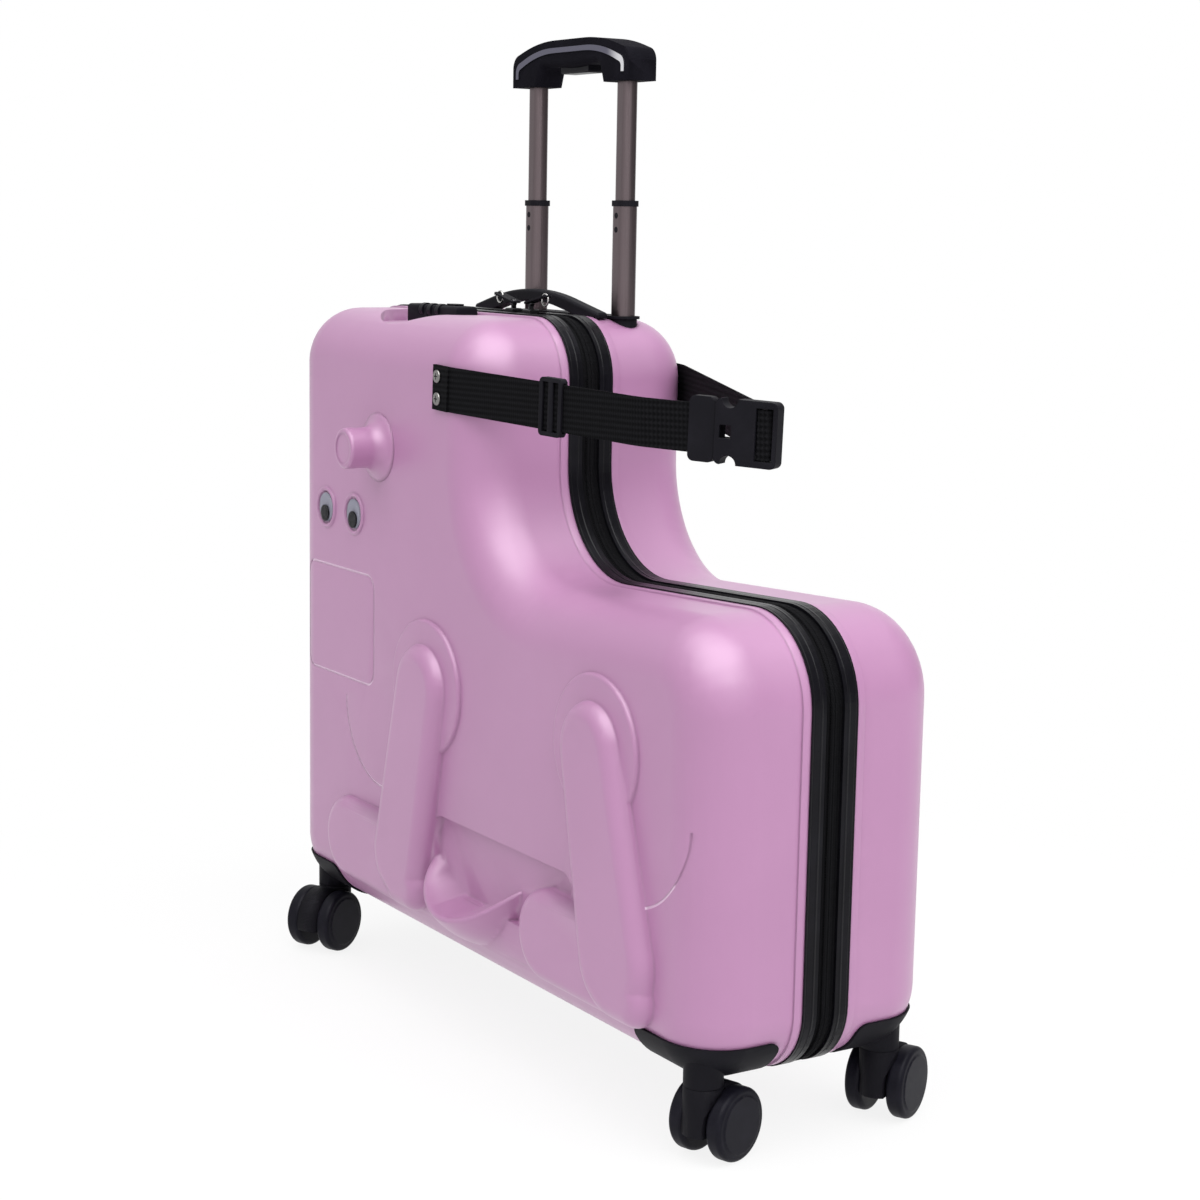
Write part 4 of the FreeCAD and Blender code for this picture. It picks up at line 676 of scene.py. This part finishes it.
@dataclass
class BandPath:
    """The outline of the case in side view, along which the zip runs."""

    front: float = -0.3505
    end: float = 0.3505
    bottom: float = 0.061
    top: float = 0.620
    tall_end: float = 0.0035
    seat_inner: float = 0.403
    seat_outer: float = 0.4185
    radii: tuple[float, ...] = (0.054, 0.054, 0.071, 0.090, 0.053, 0.053)

    def corners(self) -> list[Vector]:
        """The outline's corners, counter-clockwise seen from the near side."""
        spots = [
            (self.front, self.bottom),
            (self.end, self.bottom),
            (self.end, self.seat_outer),
            (self.tall_end, self.seat_inner),
            (self.tall_end, self.top),
            (self.front, self.top),
        ]
        return [Vector((x, 0.0, z)) for x, z in spots]

    def steps(self, pitch: float) -> list[tuple[Vector, Vector]]:
        """Even steps along the rounded outline.

        Args:
            pitch: The wanted distance between steps.

        Returns:
            A list of (point, direction), direction along the outline.
        """
        corners = self.corners()
        count = len(corners)
        runs: list[tuple[str, tuple]] = []
        trims = []
        for index, (corner, radius) in enumerate(zip(corners, self.radii)):
            back = (corners[index - 1] - corner).normalized()
            ahead = (corners[(index + 1) % count] - corner).normalized()
            half = back.angle(ahead) / 2
            run = radius / math.tan(half)
            centre = corner + (back + ahead).normalized() * (radius / math.sin(half))
            trims.append((corner + back * run, corner + ahead * run, centre, math.pi - 2 * half))
        for index in range(count):
            entry, leave, centre, turn = trims[index]
            runs.append(("arc", (entry - centre, leave - centre, centre, turn)))
            runs.append(("line", (leave, trims[(index + 1) % count][0])))
        lengths = [
            data[0].length * data[3] if kind == "arc" else (data[1] - data[0]).length for kind, data in runs
        ]
        number = round(sum(lengths) / pitch)
        step = sum(lengths) / number
        places = []
        at = 0.0
        passed = 0.0
        for (kind, data), length in zip(runs, lengths):
            while at < passed + length - 1e-9:
                share = (at - passed) / length
                if kind == "arc":
                    spoke = data[0].slerp(data[1], share)
                    inward = data[0].cross(data[1]).y > 0
                    along = spoke.cross(Vector((0, -1 if inward else 1, 0)))
                    places.append((data[2] + spoke.normalized() * data[0].length, along.normalized()))
                else:
                    places.append((data[0].lerp(data[1], share), (data[1] - data[0]).normalized()))
                at += step
            passed += length
        return places


@dataclass
class CaseHalf:
    """One moulded half with its binding, zip tape, peg and eyes."""

    half: Half
    leaf_size: tuple[float, float] = (0.012, 0.430)
    lining_size: tuple[float, float] = (0.6924, 0.5504)
    lining_area: float = 0.306

    def build(self) -> None:
        """Dress every node of the half."""
        tag = self.half.tag
        dress_node(f"{tag}_shell", SHELL, ROUND_EDGED)
        dress_node(f"{tag}_hand_peg", SHELL, ROUND_EDGED)
        dress_node(f"{tag}_binding", PIPING)
        dress_node(f"{tag}_zip_tape", TAPE)
        leaf = dress_node(f"{tag}_hinge_leaf", TAPE)
        dress_node(f"{tag}_eye_whites", WHITE)
        dress_node(f"{tag}_eye_domes", CLEAR, ROUND)
        for end in Ends:
            dress_node(f"{tag}_pupil_{end.tag}", BLACK)
        if self.half is Half.NEAR:
            lining = dress_node("near_divider", LINING)


@dataclass
class ZipBand:
    """The zip's teeth, sliders and pulls."""

    path: BandPath
    pitch: float = 0.0021
    tooth_length: float = 0.0012
    tooth_width: float = 0.0030
    tooth_height: float = 0.0009
    lift: float = 0.0007
    inner: float = 0.0004
    ring_radius: float = 0.0052
    ring_wire: float = 0.0008

    def teeth(self, half: Half, shift: float) -> None:
        """Set one half's teeth along the outline.

        Args:
            half: The half that carries them.
            shift: Where the first tooth is, as a share of the pitch.
        """
        work = bmesh.new()
        for spot, along in self.path.steps(self.pitch):
            out = along.cross(Vector((0, 1, 0)))
            middle = spot + out * self.lift + along * (shift * self.pitch)
            middle.y = half.value * (self.inner + self.tooth_width / 2)
            turn = Matrix((along, Vector((0, 1, 0)), out)).transposed().to_4x4()
            size = Matrix.Diagonal((self.tooth_length, self.tooth_width, self.tooth_height, 1.0))
            bmesh.ops.create_cube(work, size=1.0, matrix=Matrix.Translation(middle) @ turn @ size)
        mesh = mesh_from(work, f"{half.tag}_zip_teeth", CRISP)
        piece = add_piece(f"{half.tag}_zip_teeth", mesh, COIL, f"{half.tag}_case")

    def pull_ring(self, end: Ends) -> None:
        """Hang a wire ring in the free end of a pull tab."""
        low, high = islands(f"zip_pull_{end.tag}")[0]
        tip = low.x + self.ring_radius if end is Ends.FRONT else high.x - self.ring_radius
        work = bmesh.new()
        bmesh.ops.create_circle(
            work,
            segments=12,
            radius=self.ring_wire,
            matrix=Matrix.Translation((self.ring_radius, 0, 0)) @ Matrix.Rotation(math.pi / 2, 4, "X"),
        )
        bmesh.ops.spin(
            work,
            geom=work.edges[:],
            cent=(0, 0, 0),
            axis=(0, 0, 1),
            angle=2 * math.pi,
            steps=40,
            use_merge=True,
        )
        bmesh.ops.recalc_face_normals(work, faces=work.faces)
        upright = Matrix.Translation((tip, 0, (low.z + high.z) / 2)) @ Matrix.Rotation(math.pi / 2, 4, "X")
        bmesh.ops.transform(work, matrix=upright, verts=work.verts)
        name = f"zip_pull_ring_{end.tag}"
        add_piece(name, mesh_from(work, name, ROUND), RING, BODY_OF[f"zip_pull_{end.tag}"])

    def build(self) -> None:
        """Dress the sliders and pulls, and add the teeth."""
        for half, shift in ((Half.NEAR, 0.0), (Half.FAR, 0.5)):
            self.teeth(half, shift)
        for end in Ends:
            dress_node(f"zip_slider_{end.tag}", PLATED)
            dress_node(f"zip_pull_{end.tag}", PLASTIC)
            self.pull_ring(end)


@dataclass
class Lock:
    """The combination lock on the near half's top."""

    letters: str = "abc"

    def build(self) -> None:
        """Dress the lock's case, dials and release."""
        dress_node("lock_body", PLASTIC)
        dress_node("lock_release", SMOOTH_PLASTIC)
        for letter in self.letters:
            dress_node(f"lock_dial_{letter}", SMOOTH_PLASTIC)


@dataclass
class PullHandle:
    """The telescopic handle with its grip."""

    round_radius: float = 0.0088
    half_flat: float = 0.003
    detent_radius: float = 0.0026
    detent_depth: float = 0.0002
    detent_drops: tuple[float, ...] = (0.008, 0.020)

    def detents(self) -> None:
        """Set dark disks on the flat side, below the top of each middle tube, painted shade that stands for
        the catch holes.
        """
        work = bmesh.new()
        turn = Matrix.Rotation(math.pi / 2, 4, "X")
        for low, high in islands("trolley_mid_tubes"):
            middle = (low + high) / 2
            for drop in self.detent_drops:
                along = middle.x - self.half_flat + self.detent_radius
                spot = Vector((along, middle.y - self.round_radius, high.z - drop))
                bmesh.ops.create_cone(
                    work,
                    cap_ends=True,
                    segments=20,
                    radius1=self.detent_radius,
                    radius2=self.detent_radius,
                    depth=self.detent_depth,
                    matrix=Matrix.Translation(spot) @ turn,
                )
        # The dark disks are painted shade for the catch holes
        mesh = mesh_from(work, "tube_detents", CRISP)
        add_piece("tube_detents", mesh, PLASTIC, BODY_OF["trolley_mid_tubes"])

    def build(self) -> None:
        """Dress tubes, collars, bezel and grip."""
        dress_node("trolley_outer_tubes", PLASTIC)
        dress_node("trolley_mid_tubes", TUBE)
        dress_node("trolley_top_tubes", TUBE)
        dress_node("trolley_collars", PLASTIC)
        dress_node("trolley_bezel", PLASTIC)
        dress_node("grip_body", SOFT_PLASTIC)
        dress_node("grip_button", SMOOTH_PLASTIC)
        dress_node("grip_trim", TRIM)
        dress_node("carry_handle", PLASTIC)
        self.detents()


@dataclass
class SafetyStrap:
    """The webbing, its buckle, adjuster and rivets."""

    width: float = 0.038
    near_length: float = 0.3455
    far_length: float = 0.4197
    cross_span: float = 0.0056
    cross_width: float = 0.0010
    cross_lift: float = 0.0001

    def crosses(self, half: Half) -> None:
        """Set a dark cross on the head of each rivet of one half, painted shade that stands for the cross
        recess.
        """
        work = bmesh.new()
        for low, high in islands(f"{half.tag}_rivets"):
            middle = (low + high) / 2
            middle.y = low.y if half is Half.NEAR else high.y
            # Two thin dark boxes per rivet: painted shade of a cross recess
            for span in ((self.cross_span, self.cross_width), (self.cross_width, self.cross_span)):
                size = Matrix.Diagonal((span[0], self.cross_lift * 2, span[1], 1.0))
                bmesh.ops.create_cube(work, size=1.0, matrix=Matrix.Translation(middle) @ size)
        name = f"{half.tag}_rivet_crosses"
        add_piece(name, mesh_from(work, name, CRISP), BLACK, BODY_OF[f"{half.tag}_rivets"])

    def build(self) -> None:
        """Dress the strap's pieces."""
        for half, length in ((Half.NEAR, self.near_length), (Half.FAR, self.far_length)):
            strap = dress_node(f"{half.tag}_strap", WEBBING)
            dress_node(f"{half.tag}_rivets", STEEL)
            self.crosses(half)
        dress_node("strap_adjuster", PLASTIC)
        dress_node("buckle_plug", PLASTIC)
        dress_node("buckle_socket", PLASTIC)


@dataclass
class Casters:
    """Brackets, forks and twin wheels at the four corners."""

    def build(self) -> None:
        """Dress each caster."""
        for half in Half:
            dress_node(f"{half.tag}_caster_brackets", PLASTIC)
            for end in Ends:
                dress_node(f"{half.tag}_caster_fork_{end.tag}", PLASTIC)
                for letter in "ab":
                    dress_node(f"{half.tag}_wheel_{end.tag}_{letter}", TREAD)


@dataclass(frozen=True)
class SoftBox:
    """A square lamp: its place, the point it faces, its side and its power in watts."""

    name: str
    at: Point
    aim: Point
    size: float
    power: float
    sheen: bool = False

    def hang(self) -> None:
        """Hang the lamp, seen in gloss alone if it is for sheen and never in gloss if it isn't."""
        light = bpy.data.lights.new(self.name, "AREA")
        light.shape = "SQUARE"
        light.size = self.size
        light.energy = self.power
        lamp = bpy.data.objects.new(self.name, light)
        facing = (Vector(self.aim) - Vector(self.at)).to_track_quat("-Z", "Y")
        lamp.matrix_world = Matrix.Translation(self.at) @ facing.to_matrix().to_4x4()
        lamp.visible_diffuse = not self.sheen
        lamp.visible_glossy = self.sheen
        bpy.context.collection.objects.link(lamp)


@dataclass
class Studio:
    """Floor, light and camera."""

    camera_at: Point = (1.6969, -1.0687, 0.6992)
    azimuth: float = 57.43
    pitch_down: float = 9.07
    roll: float = 1.05
    lens: float = 70.56
    floor_size: float = 14.0
    ambient: float = 0.45
    sky: float = 0.93
    rear_way: tuple[float, float] = (0.54, 0.84)
    dark_rear: float = 0.8
    front_way: tuple[float, float] = (-0.84, -0.54)
    dark_front: float = 0.25
    glow: float = 0.86
    floor_tones: tuple[Colour, Colour] = ((0.84, 0.84, 0.84), (0.88, 0.88, 0.88))
    shadow_reach: float = 0.5
    shadow_fade: float = 0.3
    lamps: tuple[SoftBox, ...] = (
        SoftBox("key", (0.1, -1.3, 2.5), (0.0, 0.0, 0.4), 2.2, 22.0),
        SoftBox("top", (1.3, 0.2, 1.9), (0.0, 0.0, 0.4), 2.2, 34.0),
        SoftBox("end", (2.6, -0.1, 0.9), (0.0, 0.0, 0.35), 1.8, 2.0),
        SoftBox("sheen", (0.9, -0.8, 2.7), (0.1, 0.0, 0.4), 3.0, 125.0, sheen=True),
    )

    def camera(self) -> None:
        """Place the camera at the photograph's viewing angle."""
        turn = math.radians(self.azimuth)
        down = math.radians(self.pitch_down)
        tilt = math.radians(self.roll)
        ahead = Vector((-math.sin(turn) * math.cos(down), math.cos(turn) * math.cos(down), -math.sin(down)))
        right = Vector((math.cos(turn), math.sin(turn), 0.0))
        up = right.cross(ahead)
        across = right * math.cos(tilt) + up * math.sin(tilt)
        upward = up * math.cos(tilt) - right * math.sin(tilt)
        lens = bpy.data.cameras.new("camera")
        lens.lens = self.lens
        lens.sensor_width = 36.0
        lens.sensor_fit = "HORIZONTAL"
        lens.clip_end = 60.0
        camera = bpy.data.objects.new("camera", lens)
        turned = Matrix((across, upward, -ahead)).transposed().to_4x4()
        camera.matrix_world = Matrix.Translation(self.camera_at) @ turned
        bpy.context.collection.objects.link(camera)
        bpy.context.scene.camera = camera

    def floor(self) -> None:
        """Lay a floor that the eye sees as white but for the soft shadow."""
        work = bmesh.new()
        bmesh.ops.create_grid(work, x_segments=4, y_segments=4, size=self.floor_size / 2)
        mesh = mesh_from(work, "floor", CRISP)
        shader = Shader(bpy.data.materials.new("floor"))
        spot, (along, across, _) = shader.place()
        mottle = shader.noise(spot, 3.0, 3.0)
        shader.dress(Base_Color=shader.blend(mottle, *self.floor_tones), Roughness=0.9)
        far = (along.power(2.0) + across.power(2.0)).above(self.shadow_reach, self.shadow_fade)
        white = shader.node("ShaderNodeEmission", None, {"Strength": 1.0})
        mix = shader.node("ShaderNodeMixShader")
        shader.feed(mix.inputs[0], self.seen(shader) * (self.glow + far * (1 - self.glow)))
        shader.feed(mix.inputs[1], shader.tree.nodes["Principled BSDF"].outputs[0])
        shader.feed(mix.inputs[2], white.outputs[0])
        shader.feed(shader.tree.nodes["Material Output"].inputs["Surface"], mix.outputs[0])
        mesh.materials.append(shader.owner)
        floor = bpy.data.objects.new("floor", mesh)
        bpy.context.collection.objects.link(floor)

    def seen(self, shader: Shader) -> Value:
        """A mask of the rays that show a background: sight, gloss and glass."""
        path = shader.node("ShaderNodeLightPath")
        sight, gloss, glass = [
            Value(shader, path.outputs[f"Is {kind} Ray"]) for kind in ("Camera", "Glossy", "Transmission")
        ]
        return sight.most(gloss).most(glass)

    def world(self) -> None:
        """Soft light, stronger from above, seen as white by the camera and in reflections."""
        world = bpy.data.worlds.new("studio")
        bpy.context.scene.world = world
        shader = Shader(world)
        way = shader.node("ShaderNodeTexCoord").outputs["Generated"]
        split = shader.node("ShaderNodeSeparateXYZ", None, {0: way})
        along, across, up = [Value(shader, output) for output in split.outputs]
        soft = self.ambient + up.above(0.35, 0.6) * (self.sky - self.ambient)
        path = shader.node("ShaderNodeLightPath")
        gloss = Value(shader, path.outputs["Is Glossy Ray"])
        rear = along * self.rear_way[0] + across * self.rear_way[1]
        front = along * self.front_way[0] + across * self.front_way[1]
        dark = (rear.above(0.6, 0.3) * self.dark_rear).most(front.above(0.6, 0.35) * self.dark_front)
        seen = self.seen(shader)
        background = shader.tree.nodes["Background"]
        background.inputs["Color"].default_value = (1.0, 1.0, 1.0, 1.0)
        shader.feed(background.inputs["Strength"], soft * (1 - seen) + seen - gloss * dark)

    def build(self) -> None:
        """Set up the whole studio."""
        bpy.context.scene.view_settings.view_transform = "Standard"
        self.camera()
        self.world()
        self.floor()
        for lamp in self.lamps:
            lamp.hang()


def main() -> None:
    """Build the studio and dress the suitcase in order."""
    logging.basicConfig(level=logging.INFO, format="%(message)s")
    Studio().build()
    for half in Half:
        CaseHalf(half).build()
    ZipBand(BandPath()).build()
    Lock().build()
    PullHandle().build()
    SafetyStrap().build()
    Casters().build()


if __name__ == "__main__":
    main()
